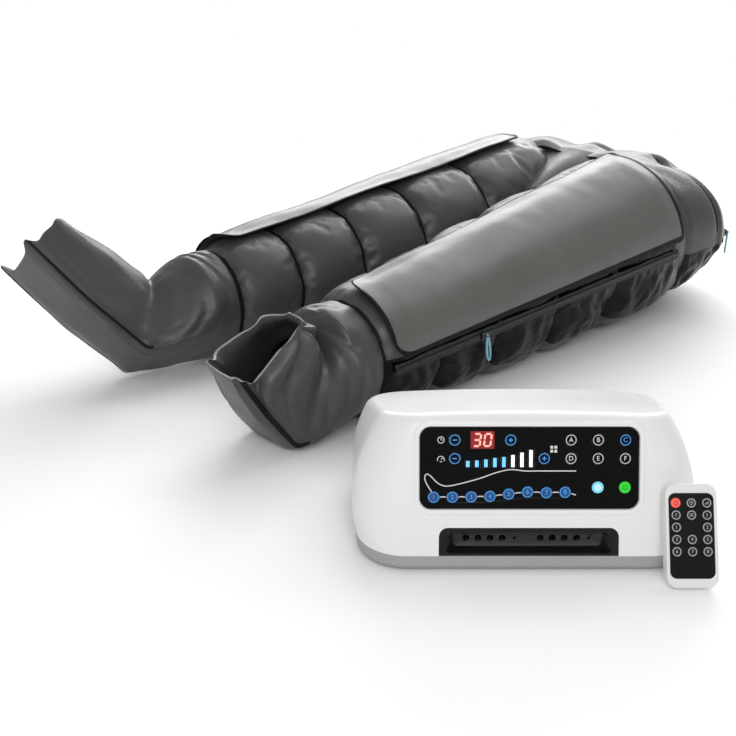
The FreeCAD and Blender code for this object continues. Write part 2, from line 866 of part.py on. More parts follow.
def air_pump():
    """Twin-head air pump on four soft feet."""
    floor = "foot_height + tray_wall"
    left, front = "- pump_x - 0.5*pump_width", "pump_y - 0.5*pump_deep"
    body_low = f"{floor} + pump_foot_height"
    pieces = [box("pump_body", "pump_width", "pump_deep", "pump_height", (left, front, body_low))]
    for across in ("pump_foot_inset", "pump_width - pump_foot_inset"):
        for deep in ("pump_foot_inset", "pump_deep - pump_foot_inset"):
            spot = (f"{left} + {across}", f"{front} + {deep}", floor)
            pieces.append(cylinder("pump_foot", "pump_foot_radius", "pump_foot_height", spot))
    for side in "-+":
        spot = (f"- pump_x {side} pump_head_spread", "pump_y", f"{body_low} + pump_height")
        pieces.append(cylinder("pump_head", "pump_head_radius", "pump_head_height", spot))
    fused("air_pump", pieces, console_place())


def power_supply():
    """Power supply board on posts, with its transformer and capacitors."""
    floor = "foot_height + tray_wall"
    left, front = "supply_x - 0.5*supply_width", "supply_y - 0.5*supply_deep"
    board_low = f"{floor} + supply_post"
    deck = f"{board_low} + board_thick"
    pieces = [box("supply_board", "supply_width", "supply_deep", "board_thick", (left, front, board_low))]
    for across in ("supply_post_inset", "supply_width - supply_post_inset"):
        for deep in ("supply_post_inset", "supply_deep - supply_post_inset"):
            spot = (f"{left} + {across}", f"{front} + {deep}", floor)
            pieces.append(cylinder("supply_post", "supply_post_radius", "supply_post", spot))
    coil = (f"{left} + transformer_inset", f"{front} + transformer_inset", deck)
    pieces.append(box("transformer", "transformer_width", "transformer_deep", "transformer_height", coil))
    for index in range(2):
        spot = (f"{left} + supply_width - transformer_inset - capacitor_radius",
                f"{front} + transformer_inset + capacitor_radius + {index}*capacitor_pitch", deck)
        pieces.append(cylinder("capacitor", "capacitor_radius", "capacitor_height", spot))
    fused("power_supply", pieces, console_place())


def mains_inlet():
    """Two-pin inlet in the back wall."""
    shape = inlet_block(0, inlet_face())
    centre = Vector(size("inlet_x"), inlet_face(), size("inlet_level"))
    slot = rounded_plate(size("inlet_slot_width"), size("inlet_slot_height"), size("inlet_slot_round"),
                         -size("inlet_slot_deep"), size("overrun"))
    facing_back = Placement(centre, Rotation(ACROSS, -90))
    shape = shape.cut(placed(slot, facing_back))
    for side in (-1, 1):
        root = Vector(side * size("pin_pitch") / 2, 0, -total("inlet_slot_deep + overrun"))
        pin = Part.makeCylinder(size("pin_radius"), total("pin_length + overrun"), root)
        shape = shape.fuse(placed(pin, facing_back))
    shaped("mains_inlet", shape.removeSplitter(), console_place())


# Remote

def remote_keys():
    """Name and bound place of the remote's keys: five rows of three, less the label's place."""
    keys = []
    for row in range(5):
        for column in range(3):
            if (row, column) == (2, 1):
                continue
            keys.append((f"remote_key_{row + 1}_{column + 1}", f"{column - 1}*remote_column",
                         f"remote_key_level + {2 - row}*remote_row_step"))
    return keys


def remote_front_shell():
    """White front half with the face's seat, the keys' holes and a hollow back."""
    body = new_body("remote_front_shell")
    outline = new_sketch(body, "front_outline", "- remote_front")
    draw_rounded(outline, "0.5*remote_width", "0.5*remote_height", "remote_corner", "0.5*remote_height")
    block = pad(body, outline, "front_block", "remote_front")
    block = round_edges(body, block, "front_edge", "remote_edge", at_level(0))
    hollow = new_sketch(body, "front_hollow", "- remote_front")
    draw_rounded(hollow, "0.5*remote_width - remote_wall", "0.5*remote_height - remote_wall",
                 "remote_corner - remote_wall", "0.5*remote_height")
    pocket(body, hollow, "front_cavity", "remote_front - remote_skin - face_thick", True)
    seat = new_sketch(body, "face_seat")
    draw_rounded(seat, "0.5*face_width + fit_gap", "0.5*face_height + fit_gap", "face_corner + fit_gap",
                 "face_level")
    pocket(body, seat, "face_pocket", "face_thick")
    holes = new_sketch(body, "front_holes")
    draw_circles(holes, [key[1:] for key in remote_keys()], "remote_key_radius + key_gap")
    pocket(body, holes, "front_key_holes", "remote_skin + face_thick + overrun")
    subpart(body, "remote_front_shell", remote_place())


def remote_rear_shell():
    """White back half with board posts and the battery drawer's slot."""
    shape = rounded_plate(size("remote_width"), size("remote_height"), size("remote_corner"),
                          -total("remote_front + remote_rear"), -size("remote_front"))
    back = [edge for edge in shape.Edges if at_level(-total("remote_front + remote_rear"))(edge)]
    shape = shape.makeFillet(size("remote_edge"), back)
    floor = -total("remote_front + remote_rear - remote_wall")
    wall = size("remote_wall")
    hollow = rounded_plate(size("remote_width") - 2 * wall, size("remote_height") - 2 * wall,
                           size("remote_corner") - wall, floor, size("overrun") - size("remote_front"))
    shape = shape.cut(hollow)
    inset = size("remote_post_inset")
    for across in (-1, 1):
        for up in (-1, 1):
            spot = Vector(across * (size("remote_width") / 2 - inset), up * (size("remote_height") / 2 - inset), floor)
            post = Part.makeCylinder(size("remote_post_radius"), remote_board_face() - size("remote_board_thick")
                                     - floor, spot)
            shape = shape.fuse(post)
    shape.translate(DEEP * size("remote_height") / 2)
    gap = size("drawer_gap")
    slot = Part.makeBox(size("drawer_width"), total("drawer_height + 2*drawer_gap"),
                        total("drawer_thick + 2*drawer_gap"),
                        Vector(size("remote_width") / 2 - wall - size("overrun"),
                               total("drawer_level - 0.5*drawer_height") - gap, drawer_low() - gap))
    shaped("remote_rear_shell", shape.cut(slot).removeSplitter(), remote_place())


def remote_board_face():
    return -total("face_thick + remote_skin + key_seat_gap + remote_key_flange_thick + remote_key_travel"
                  " + switch_gap + remote_switch_height")


def drawer_low():
    """Level of the underside of the battery drawer, just above the rear shell's floor."""
    return -total("remote_front + remote_rear - remote_wall - drawer_gap")


def remote_overlay():
    """Black face with the keys' holes."""
    body = new_body("remote_overlay")
    outline = new_sketch(body, "face_outline", "- face_thick")
    draw_rounded(outline, "0.5*face_width", "0.5*face_height", "face_corner", "face_level")
    pad(body, outline, "face_plate", "face_thick")
    holes = new_sketch(body, "face_holes", "- face_thick")
    draw_circles(holes, [key[1:] for key in remote_keys()], "remote_key_radius + key_gap")
    pocket(body, holes, "face_key_holes", "face_thick", True)
    subpart(body, "remote_overlay", remote_place())


def remote_board():
    """Circuit board with a dome under every key."""
    face = ("- face_thick - remote_skin - key_seat_gap - remote_key_flange_thick - remote_key_travel"
            " - switch_gap - remote_switch_height")
    body = new_body("remote_board")
    outline = new_sketch(body, "remote_board_outline", f"{face} - remote_board_thick")
    draw_rounded(outline, "0.5*remote_width - remote_wall - fit_gap", "0.5*remote_height - remote_wall - fit_gap",
                 "remote_corner - remote_wall", "0.5*remote_height")
    pad(body, outline, "remote_board_plate", "remote_board_thick")
    domes = new_sketch(body, "remote_domes", face)
    draw_circles(domes, [key[1:] for key in remote_keys()], "remote_switch_radius")
    pad(body, domes, "remote_dome_row", "remote_switch_height")
    subpart(body, "remote_board", remote_place())


def remote_battery_tray():
    """Drawer for the coin cell, which slides out of the side."""
    shape = Part.makeBox(size("drawer_width"), size("drawer_height"), size("drawer_thick"),
                         Vector(size("remote_width") / 2 - size("drawer_width"),
                                total("drawer_level - 0.5*drawer_height"), drawer_low()))
    shape = shape.cut(placed(Part.makeCylinder(total("cell_radius + fit_gap"), size("drawer_thick")), cell_frame()))
    shaped("remote_battery_tray", shape, remote_place())


def cell_frame():
    """Foot of the coin cell in its drawer."""
    spot = Vector(total("0.5*remote_width - 0.5*drawer_width"), size("drawer_level"),
                  drawer_low() + total("drawer_thick - cell_thick"))
    return Placement(spot, Rotation())


def remote_coin_cell():
    cell = DOC.addObject("Part::Cylinder", "remote_coin_cell")
    bind(cell, "Radius", "cell_radius")
    bind(cell, "Height", "cell_thick")
    subpart(cell, "remote_coin_cell", remote_place() * cell_frame())


def remote_key_set():
    seat = "- face_thick - remote_skin - key_seat_gap"
    back = f"{seat} - remote_key_flange_thick"
    top = "remote_key_proud"
    flange = "remote_key_radius + remote_key_flange"
    profile = (("", back), (flange, back), (flange, seat), ("remote_key_radius", seat),
               ("remote_key_radius", f"{top} - key_chamfer"), ("remote_key_radius - key_chamfer", top), ("", top))
    for label, across, up in remote_keys():
        turned_key(label, profile, (across, up), remote_place())


# Trousers

def leg_radius(along):
    """Outer radius of a leg at a distance from the hip."""
    return size("thigh_radius") - total("thigh_radius - ankle_radius") * along / size("leg_length")


def leg_level(along):
    """Height of a leg's centre line above the floor."""
    return leg_radius(along) + size("floor_lift") + size("ankle_lift") * along / size("leg_length")


def across_leg(along):
    """Frame of a cross-section of a leg: its X points to the left and its Y up."""
    return Placement(Vector(along, 0, leg_level(along)), Rotation(DEEP, UP, ACROSS, "XYZ"))


def leg_section(along, radius):
    return placed(round_wire(radius), across_leg(along))


def chamber_ends():
    """Where the seams between a leg's chambers lie."""
    ends = [size("stub_length")]
    for name in ("thigh_chamber", "knee_chamber", "calf_chamber", "shin_chamber"):
        ends.append(ends[-1] + size(name))
    return ends


def chamber(start, end):
    """Inflated ring that swells between two seams."""
    middle = (start + end) / 2
    swell = [leg_section(start, SEAM_DRAW_SHARE * leg_radius(start)), leg_section(middle, leg_radius(middle)),
             leg_section(end, SEAM_DRAW_SHARE * leg_radius(end))]
    wall, past = size("chamber_wall"), size("overrun")
    hollow = [leg_section(place, leg_radius(place) - wall) for place in (start - past, end + past)]
    return Part.makeLoft(swell, True, False).cut(Part.makeLoft(hollow, True, True))


def boot_section(low, high, width, share, wall, push):
    """Rounded section between a point of the sole and one of the instep, inside a wall, pushed ahead."""
    rise = (high - low).normalize()
    ahead = DEEP.cross(rise)
    wide, long = width - 2 * wall, (high - low).Length - 2 * wall
    spot = Placement((low + high) * 0.5 + ahead * push, Rotation(DEEP, rise, ahead, "XYZ"))
    return placed(rounded_wire(wide, long, share * min(long, wide) / 2), spot)


def boot_stations(name):
    """Points of the sole and of the instep, and the width, from the ankle to the open toe."""
    start = chamber_ends()[-1]

    def point(spot, drift):
        return Vector(start + size(f"{name}_{spot}_reach"), size(f"{name}_{drift}_drift"),
                      size(f"{name}_{spot}_height"))

    def round_station(reach, share):
        radius, level = share * leg_radius(start + reach), leg_level(start + reach)
        return Vector(start + reach, 0, level - radius), Vector(start + reach, 0, level + radius), 2 * radius

    heel, crease = point("heel", "heel"), point("crease", "heel")
    sole, toe = point("sole", "toe"), point("toe", "toe")
    heel_width, toe_width = size(f"{name}_heel_width"), size(f"{name}_toe_width")
    swell = DEEP.cross(sole - heel).normalize() * size("arch_swell")
    return (round_station(0, SEAM_DRAW_SHARE), round_station(size("ankle_reach"), 1),
            (heel, crease, heel_width),
            ((heel + sole) * 0.5 + swell, (crease + toe) * 0.5 - swell, (heel_width + toe_width) / 2),
            (sole, toe, toe_width))


def boot(name):
    """Open-toed boot that bends up from the end of the last chamber and rolls about the leg."""
    past = size("overrun")
    pushes = (-past, 0, 0, 0, past)
    lofts = []
    for wall, share_of_push in ((0, 0), (size("boot_wall"), 1)):
        wires = [boot_section(*station, share, wall, push * share_of_push)
                 for station, share, push in zip(boot_stations(name), BOOT_ROUND_SHARES, pushes)]
        lofts.append(Part.makeLoft(wires, True, True))
    centre = UP * leg_level(chamber_ends()[-1])
    return placed(lofts[0].cut(lofts[1]), Placement(Vector(), Rotation(ACROSS, size(f"{name}_roll")), centre))


def leg_sleeve(name, side):
    """Four inflated chambers and the boot of one leg."""
    ends = chamber_ends()
    solids = [chamber(start, end) for start, end in zip(ends, ends[1:])]
    solids.append(boot(name))
    shaped(f"{name}_leg_sleeve", Part.makeCompound(solids), leg_place(side))


def yoke_section(reach, width, height, corner, low):
    """Section across both hips, with its underside at a level."""
    spot = Vector(reach, 0, low + height / 2)
    return placed(rounded_wire(width, height, corner), Placement(spot, Rotation(DEEP, UP, ACROSS, "XYZ")))


def yoke(wall, past, leg_wall):
    """Hips with the roots of both legs: the outside, or the hollow inside their walls."""
    waist = (size("waist_width"), size("waist_height"), size("waist_corner"), size("waist_lift"))
    hip = (size("hip_width"), size("hip_height"), size("hip_corner"), size("floor_lift"))
    wires = []
    for reach, (width, height, corner, low) in ((-past, waist), (size("hip_reach"), hip),
                                                (size("yoke_length") - wall, hip)):
        wires.append(yoke_section(reach, width - 2 * wall, height - 2 * wall, corner - wall, low + wall))
    shape = Part.makeLoft(wires, True, True)
    for side in (LEFT, RIGHT):
        root = [leg_section(place, leg_radius(place) - leg_wall)
                for place in (-size("stub_back"), size("stub_length") + past)]
        shape = shape.fuse(placed(Part.makeLoft(root, True, True), leg_frame(side)))
    return shape


def hip_section():
    """Open waist, hips and the roots of both legs."""
    hollow = yoke(size("yoke_wall"), size("overrun"), size("chamber_wall"))
    shaped("hip_section", yoke(0, 0, 0).cut(hollow).removeSplitter(), garment_place())


def cover(side):
    """Cover lying over the outer side and the top of one leg."""
    inner, outer = size("cover_gap"), total("cover_gap + cover_thick")
    angles = [math.radians(size(name)) for name in ("cover_low_angle", "cover_high_angle")]
    middle = sum(angles) / 2
    wires = []
    for along in (size("cover_start"), size("cover_end")):
        def spot(angle, gap):
            radius = leg_radius(along) + gap
            return Vector(side * radius * math.cos(angle), radius * math.sin(angle), 0)
        edges = [Part.Arc(spot(angles[0], inner), spot(middle, inner), spot(angles[1], inner)),
                 Part.LineSegment(spot(angles[1], inner), spot(angles[1], outer)),
                 Part.Arc(spot(angles[1], outer), spot(middle, outer), spot(angles[0], outer)),
                 Part.LineSegment(spot(angles[0], outer), spot(angles[0], inner))]
        wires.append(placed(Part.Wire([edge.toShape() for edge in edges]), across_leg(along)))
    return placed(Part.makeLoft(wires, True, True), leg_frame(side))


def cover_panels():
    shaped("cover_panels", Part.makeCompound([cover(LEFT), cover(RIGHT)]), garment_place())


def zip_frame(start, end, outward, spot):
    """Frame on a zip: X along it, Y out of the fabric, Z up the fabric."""
    along = (end - start).normalize()
    if UP.cross(along).dot(outward) < 0:
        along = along * -1
    out = UP.cross(along).normalize()
    return Placement(spot, Rotation(along, out, along.cross(out), "XYZ"))


def leg_zip_point(side, along):
    return Vector(along, side * (leg_radius(along) + size("tape_gap")), leg_level(along))


def leg_zip_frame(side, along):
    """Frame of a leg's zip at a distance from the hip, in the trousers' frame."""
    ends = [leg_zip_point(side, place) for place in (size("tape_start"), size("tape_end"))]
    return leg_frame(side) * zip_frame(*ends, DEEP * side, leg_zip_point(side, along))


def waist_zip_point(side, along):
    share = along / size("hip_reach")
    half = total("0.5*waist_width") + share * total("0.5*hip_width - 0.5*waist_width") + size("tape_gap")
    waist_level, hip_level = total("waist_lift + 0.5*waist_height"), total("floor_lift + 0.5*hip_height")
    level = waist_level + share * (hip_level - waist_level)
    return Vector(along, side * half, level)


def waist_zip_frame(side, along):
    ends = [waist_zip_point(side, place) for place in (size("waist_tape_start"), size("waist_tape_end"))]
    return zip_frame(*ends, DEEP * side, waist_zip_point(side, along))


def tape(frame, length, width):
    """Flat zip tape, as a box about the middle of its inner face."""
    strip = Part.makeBox(length, size("tape_thick"), width, Vector(-length / 2, 0, -width / 2))
    return placed(strip, frame)


def zip_tapes():
    """Two long leg zips and two short waist zips."""
    strips = []
    for side in (LEFT, RIGHT):
        start, end = size("tape_start"), size("tape_end")
        length = (leg_zip_point(side, end) - leg_zip_point(side, start)).Length
        strips.append(tape(leg_zip_frame(side, (start + end) / 2), length, size("tape_width")))
        start, end = size("waist_tape_start"), size("waist_tape_end")
        length = (waist_zip_point(side, end) - waist_zip_point(side, start)).Length
        strips.append(tape(waist_zip_frame(side, (start + end) / 2), length, size("waist_tape_width")))
    shaped("zip_tapes", Part.makeCompound(strips), garment_place())


def zip_slider(label, frame):
    """Slider on a zip, with a looped pull that hangs from it."""
    body = new_body(label)
    block = new_sketch(body, "slider_outline", "- tape_thick - fit_gap", "XZ_Plane")
    draw_rectangle(block, "slider_long", "slider_high")
    pad(body, block, "slider_block", "slider_thick", True)
    loop = new_sketch(body, "pull_outline", "- tape_thick - fit_gap - 0.5*slider_thick + 0.5*pull_thick", "XZ_Plane")
    middle = "- 0.5*pull_length"
    draw_rounded(loop, "0.5*pull_width", "0.5*pull_length", "0.45*pull_width", middle)
    pad(body, loop, "pull_plate", "pull_thick", True)
    slot = new_sketch(body, "pull_slot", "- tape_thick - fit_gap - 0.5*slider_thick + 0.5*pull_thick", "XZ_Plane")
    draw_rounded(slot, "0.5*pull_slot", "0.5*pull_length - pull_width", "0.45*pull_slot", f"{middle} - 0.5*pull_slot")
    pocket(body, slot, "pull_opening", "pull_thick", True)
    subpart(body, label, garment_place() * frame)


def zip_sliders():
    for name, side in (("left", LEFT), ("right", RIGHT)):
        zip_slider(f"{name}_leg_zip_slider", leg_zip_frame(side, size("slider_rest")))
        zip_slider(f"{name}_waist_slider", waist_zip_frame(side, size("waist_slider_rest")))


# The whole set

def build_console():
    console_upper_shell()
    console_base_tray()
    rubber_feet()
    panel_overlay()
    display_module()
    control_board()
    panel_keys()
    hose_socket_block()
    valve_manifold()
    air_pump()
    power_supply()
    mains_inlet()


def build_remote():
    remote_front_shell()
    remote_rear_shell()
    remote_overlay()
    remote_board()
    remote_battery_tray()
    remote_coin_cell()
    remote_key_set()


def build_trousers():
    leg_sleeve("left", LEFT)
    leg_sleeve("right", RIGHT)
    hip_section()
    cover_panels()
    zip_tapes()
    zip_sliders()


def check_document():
    """Stop if any object failed or any sub-part has no sound shape."""
    DOC.recompute()
    failed = [item.Label for item in DOC.Objects if {"Invalid", "Error"} & set(item.State)]
    unsound = [item.Label for item in SUBPARTS if item.Shape.isNull() or not item.Shape.isValid()]
    if failed or unsound:
        raise RuntimeError(f"failed objects {failed}, unsound shapes {unsound}")


def write_parts():
    os.makedirs("parts", exist_ok=True)
    for item in SUBPARTS:
        item.Shape.exportStep(os.path.join("parts", f"{item.Label}.step"))


build_console()
build_remote()
build_trousers()
check_document()
write_parts()
bounds = Part.makeCompound([item.Shape for item in SUBPARTS]).BoundBox
print(f"{len(SUBPARTS)} sub-parts, x {bounds.XMin:.1f} to {bounds.XMax:.1f}, "
      f"y {bounds.YMin:.1f} to {bounds.YMax:.1f}, z {bounds.ZMin:.1f} to {bounds.ZMax:.1f} mm")
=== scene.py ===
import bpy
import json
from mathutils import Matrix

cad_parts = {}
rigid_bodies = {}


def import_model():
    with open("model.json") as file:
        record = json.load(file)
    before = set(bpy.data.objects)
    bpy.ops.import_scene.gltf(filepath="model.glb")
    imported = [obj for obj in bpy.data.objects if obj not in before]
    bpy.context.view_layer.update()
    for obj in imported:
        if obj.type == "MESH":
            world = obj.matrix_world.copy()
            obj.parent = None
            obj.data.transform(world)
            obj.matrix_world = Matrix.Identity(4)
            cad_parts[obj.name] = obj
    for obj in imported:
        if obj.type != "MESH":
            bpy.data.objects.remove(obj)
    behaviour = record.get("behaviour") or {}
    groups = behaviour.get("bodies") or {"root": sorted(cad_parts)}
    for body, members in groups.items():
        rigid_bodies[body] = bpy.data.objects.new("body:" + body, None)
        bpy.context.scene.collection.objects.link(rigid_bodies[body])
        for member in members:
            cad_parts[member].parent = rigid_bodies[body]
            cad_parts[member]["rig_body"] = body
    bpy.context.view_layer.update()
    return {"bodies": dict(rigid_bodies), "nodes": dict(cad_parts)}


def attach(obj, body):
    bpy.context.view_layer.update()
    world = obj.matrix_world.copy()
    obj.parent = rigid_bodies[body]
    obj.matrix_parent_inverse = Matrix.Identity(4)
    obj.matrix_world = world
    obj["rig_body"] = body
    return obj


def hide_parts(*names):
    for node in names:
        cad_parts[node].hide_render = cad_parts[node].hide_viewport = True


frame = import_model()

import json
from math import atan2, cos, exp, pi, radians, sin, sqrt, tau

import bmesh
import bpy
from bpy.props import FloatProperty, FloatVectorProperty, PointerProperty
from mathutils import Matrix, Vector, noise

bl_info = {
    "name": "Compression leg massager set",
    "version": (1, 0, 0),
    "blender": (4, 5, 0),
    "location": "3D View > Sidebar > Massager",
    "description": "Dresses the compression trousers, their console and their remote",
    "category": "Object",
}

# Pieces are modelled in millimetres in their own frame and placed in metres
MM = Matrix.Scale(0.001, 4)
TROUSERS = Matrix.Translation((0.3848, 0.4146, 0)) @ Matrix.Rotation(radians(221.95), 4, "Z") @ MM
PANEL = Matrix.Translation((0.0884, -0.47763, 0.0942)) @ Matrix.Rotation(radians(70), 4, "X") @ MM
REMOTE = Matrix.Translation((0.2298, -0.537, 0.0062)) @ Matrix.Rotation(radians(61.5), 4, "X") @ MM
LEFT, RIGHT = 1, -1
SIDES = ((LEFT, "left"), (RIGHT, "right"))
# Lowest and highest level of the print and of the lit parts on the panel, then of the print on its keys
# and on the remote's keys
PANEL_PRINT, PANEL_LIGHT = (-0.55, -0.42), (-0.6, -0.38)
KEY_PRINT, REMOTE_PRINT = (0.08, 0.2), (0.46, 0.58)

# Leg, measured down from the hip, which it joins at a place along and across the trousers
SEAMS = (6, 160, 280, 385, 485, 575)
LEG_SPLAY = radians(2.95)
LEG_ROOT = (170, 100)
THIGH_RADIUS, LEG_TAPER, TAPER_RUN = 116, 42, 564
LEG_LIFT, LEG_CLIMB = 0.45, 8
BOOT_START = SEAMS[-1]
# Least gap and the run over which cloth settles to it, on the floor and between the legs, which
# lie against each other as far as PARTING
FLOOR, MIDDLE, PARTING = (0.6, 3.4), (1.5, 10.5), 400
# Sole point, instep point and width at the heel and at the open toe, then the roll about the leg
BOOTS = {
    LEFT: ((682, -12, 3), (632, -12, 118), 96, (763, 15, 120), (663, 15, 158), 70, 0),
    RIGHT: ((706, -20, 31), (659, -20, 131), 95, (817, 18, 180), (747, 18, 209), 106, 38),
}


def linear(code):
    """Linear colour of an sRGB hex code."""
    parts = [int(code[place:place + 2], 16) / 255 for place in (1, 3, 5)]
    return [part / 12.92 if part <= 0.04045 else ((part + 0.055) / 1.055) ** 2.4 for part in parts]


def tone(value):
    """A colour, which may be given as a hex code."""
    return linear(value) if isinstance(value, str) else value


# Sizes and colours that a user would change

def length(name, text, value):
    return FloatProperty(name=name, description=text, default=value, min=0, unit="LENGTH",
                         subtype="DISTANCE")


def colour(name, text, code):
    return FloatVectorProperty(name=name, description=text, default=linear(code), subtype="COLOR",
                               min=0, max=1)


class TrousersLook(bpy.types.PropertyGroup):
    crease: length("Crease depth", "How far a seam draws a chamber in", 0.0150)
    pucker: length("Pucker height", "Height of the small pleats beside a seam", 0.0030)
    crumple: length("Crumple height", "Height of the folds under the leg zips", 0.0060)
    fold: length("Hip fold height", "Height of the folds that run from the crotch", 0.0075)
    billow: length("Cover billow", "How far a cover stands off the chambers", 0.0050)
    shell: colour("Shell", "Coated nylon of the chambers", "#403e3c")
    cover: colour("Cover", "Coated nylon of the leg covers", "#5a5855")
    binding_colour: colour("Binding", "Tape round the covers and along the soles", "#0e0d0d")
    lining: colour("Lining", "Inside of the boots and the waist", "#3e3d3c")
    # Rim edge colour: a pale painted highlight along the rims of the open toes
    edge: colour("Rim edge", "Turned edge of the open toes", "#9b9997")
    cord: colour("Pull cord", "Cord loops on the zip sliders", "#86bfd0")


class ConsoleLook(bpy.types.PropertyGroup):
    casing: colour("Casing", "Moulded upper casing", "#f0f0ef")
    tray: colour("Base tray", "Moulded base", "#a9aaab")
    panel: colour("Panel", "Glossy control panel", "#070708")
    print_white: colour("White print", "Rings and signs of the mode keys", "#d9d9d6")
    light_blue: colour("Blue light", "Rings and bars that are lit blue", "#3f97e0")
    red: colour("Figures", "Lit figures of the timer", "#ff9488")
    green: colour("Power", "Lit power key", "#25c425")


class RemoteLook(bpy.types.PropertyGroup):
    shell: colour("Shell", "Moulded remote shells", "#e9e9e8")
    ring: colour("Key rings", "Printed rings on the keys", "#b9b9b7")
    red: colour("Red key", "Key that switches the set on and off", "#e5453b")


class StageLook(bpy.types.PropertyGroup):
    floor: colour("Floor", "Floor of the studio", "#f7f7f7")
    span: length("Floor span", "Width of the floor", 14.0)


# Shader building

def add(tree, kind, values=None, **settings):
    """Adds a node, sets its options and fills its inputs with numbers or with other nodes' outputs."""
    made = tree.nodes.new(kind)
    for name, value in settings.items():
        setattr(made, name, value)
    for name, value in (values or {}).items():
        if isinstance(value, bpy.types.NodeSocket):
            tree.links.new(value, made.inputs[name])
        else:
            made.inputs[name].default_value = value
    return made


def finish(name, base, drift, patch, rough, bump, weave=None, specular=0.5, **shader):
    """Material whose colour and gloss drift in patches, with a fine grain in relief.

    base is a colour and drift another, or the share of base that it drifts to. patch is a size
    in millimetres, rough a range of roughness, bump the grain's size and height in millimetres,
    and weave a thread spacing in millimetres.
    """
    base = tone(base)
    drift = linear(drift) if isinstance(drift, str) else [part * drift for part in base]
    made = bpy.data.materials.new(name)
    made.use_nodes = True
    tree = made.node_tree
    tree.nodes.clear()
    spot = add(tree, "ShaderNodeTexCoord").outputs["Object"]
    cloud = add(tree, "ShaderNodeTexNoise",
                {"Vector": spot, "Scale": 1000 / patch, "Detail": 4.0}).outputs["Fac"]
    tint = add(tree, "ShaderNodeMix", {0: cloud, 6: (*base, 1), 7: (*drift, 1)}, data_type="RGBA")
    gloss = add(tree, "ShaderNodeMapRange",
                {"Value": cloud, "From Min": 0.3, "From Max": 0.7, "To Min": rough[0], "To Max": rough[1]})
    grain = add(tree, "ShaderNodeTexNoise",
                {"Vector": spot, "Scale": 1000 / bump[0], "Detail": 3.0}).outputs["Fac"]
    relief = add(tree, "ShaderNodeBump", {"Height": grain, "Distance": bump[1] / 1000, "Strength": 1.0})
    if weave:
        for turn in ((0, 0, radians(45)), (0, radians(45), radians(-45))):
            lay = add(tree, "ShaderNodeMapping", {"Vector": spot, "Rotation": turn})
            thread = add(tree, "ShaderNodeTexWave", {"Vector": lay.outputs[0], "Scale": 1000 / weave / pi,
                                                     "Distortion": 0.6, "Detail": 1.0})
            relief = add(tree, "ShaderNodeBump", {"Height": thread.outputs["Fac"], "Distance": weave / 9000,
                                                  "Strength": 0.14, "Normal": relief.outputs[0]})
    values = {"Base Color": tint.outputs[2], "Roughness": gloss.outputs[0], "Normal": relief.outputs[0],
              "Specular IOR Level": specular, **shader}
    skin = add(tree, "ShaderNodeBsdfPrincipled", values)
    add(tree, "ShaderNodeOutputMaterial", {"Surface": skin.outputs[0]})
    return made


def lit(name, base, drift, strength):
    """Glowing moulded material, a little uneven like a diffuser over a lamp: lenses lit from behind, and a
    painted glow on the remote's red key.
    """
    return finish(name, base, drift, 6, (0.25, 0.4), (1.5, 0.01),
                  **{"Emission Color": (*tone(base), 1), "Emission Strength": strength})


# Mesh building

def faces_of(verts):
    """Faces that meet at any of some points."""
    return {cell for vert in verts for cell in vert.link_faces}


def shade_smooth(bm):
    for cell in bm.faces:
        cell.smooth = True


def soften(bm, parts, offset, segments, affect="EDGES"):
    """Bevels edges, or the corners at points, and returns the new points."""
    return bmesh.ops.bevel(bm, geom=parts, offset=offset, affect=affect, segments=segments, profile=0.5,
                           material=-1)["verts"]


def extrude(bm, faces, height):
    """Extrudes faces by a height and returns them where they end."""
    made = bmesh.ops.extrude_face_region(bm, geom=faces)["geom"]
    points = [item for item in made if isinstance(item, bmesh.types.BMVert)]
    bmesh.ops.translate(bm, verts=points, vec=(0, 0, height))
    return [item for item in made if isinstance(item, bmesh.types.BMFace)]


def grid(bm, rows, columns, place, face=None, turn=False):
    """Adds a grid whose points go to place(row, column), and gives its faces a material by row and column.

    In a mesh with a layer named spot, each point keeps its row and column there.
    """
    track = bm.verts.layers.int.get("spot")
    made = bmesh.ops.create_grid(bm, x_segments=rows, y_segments=columns, size=0.5)["verts"]
    spots = {vert: (round((vert.co.x + 0.5) * rows), round((vert.co.y + 0.5) * columns)) for vert in made}
    faces = faces_of(made)
    for cell in faces:
        cell.smooth = True
        if face:
            in_rows, in_columns = zip(*(spots[vert] for vert in cell.verts))
            cell.material_index = face(min(in_rows), min(in_columns))
    for vert, spot in spots.items():
        vert.co = place(*spot)
        if track:
            vert[track] = spot[0] * 1000 + spot[1]
    if turn:
        bmesh.ops.reverse_faces(bm, faces=list(faces))
    bmesh.ops.remove_doubles(bm, verts=made, dist=0.0001)


def piece(name, bm, body, materials, place=None):
    """Turns a bmesh into an object that rides on a body."""
    if place:
        bmesh.ops.transform(bm, matrix=place, verts=bm.verts)
    data = bpy.data.meshes.new(name)
    bm.to_mesh(data)
    bm.free()
    made = bpy.data.objects.new(name, data)
    bpy.context.scene.collection.objects.link(made)
    for item in materials:
        data.materials.append(item)
    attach(made, body)
    return made


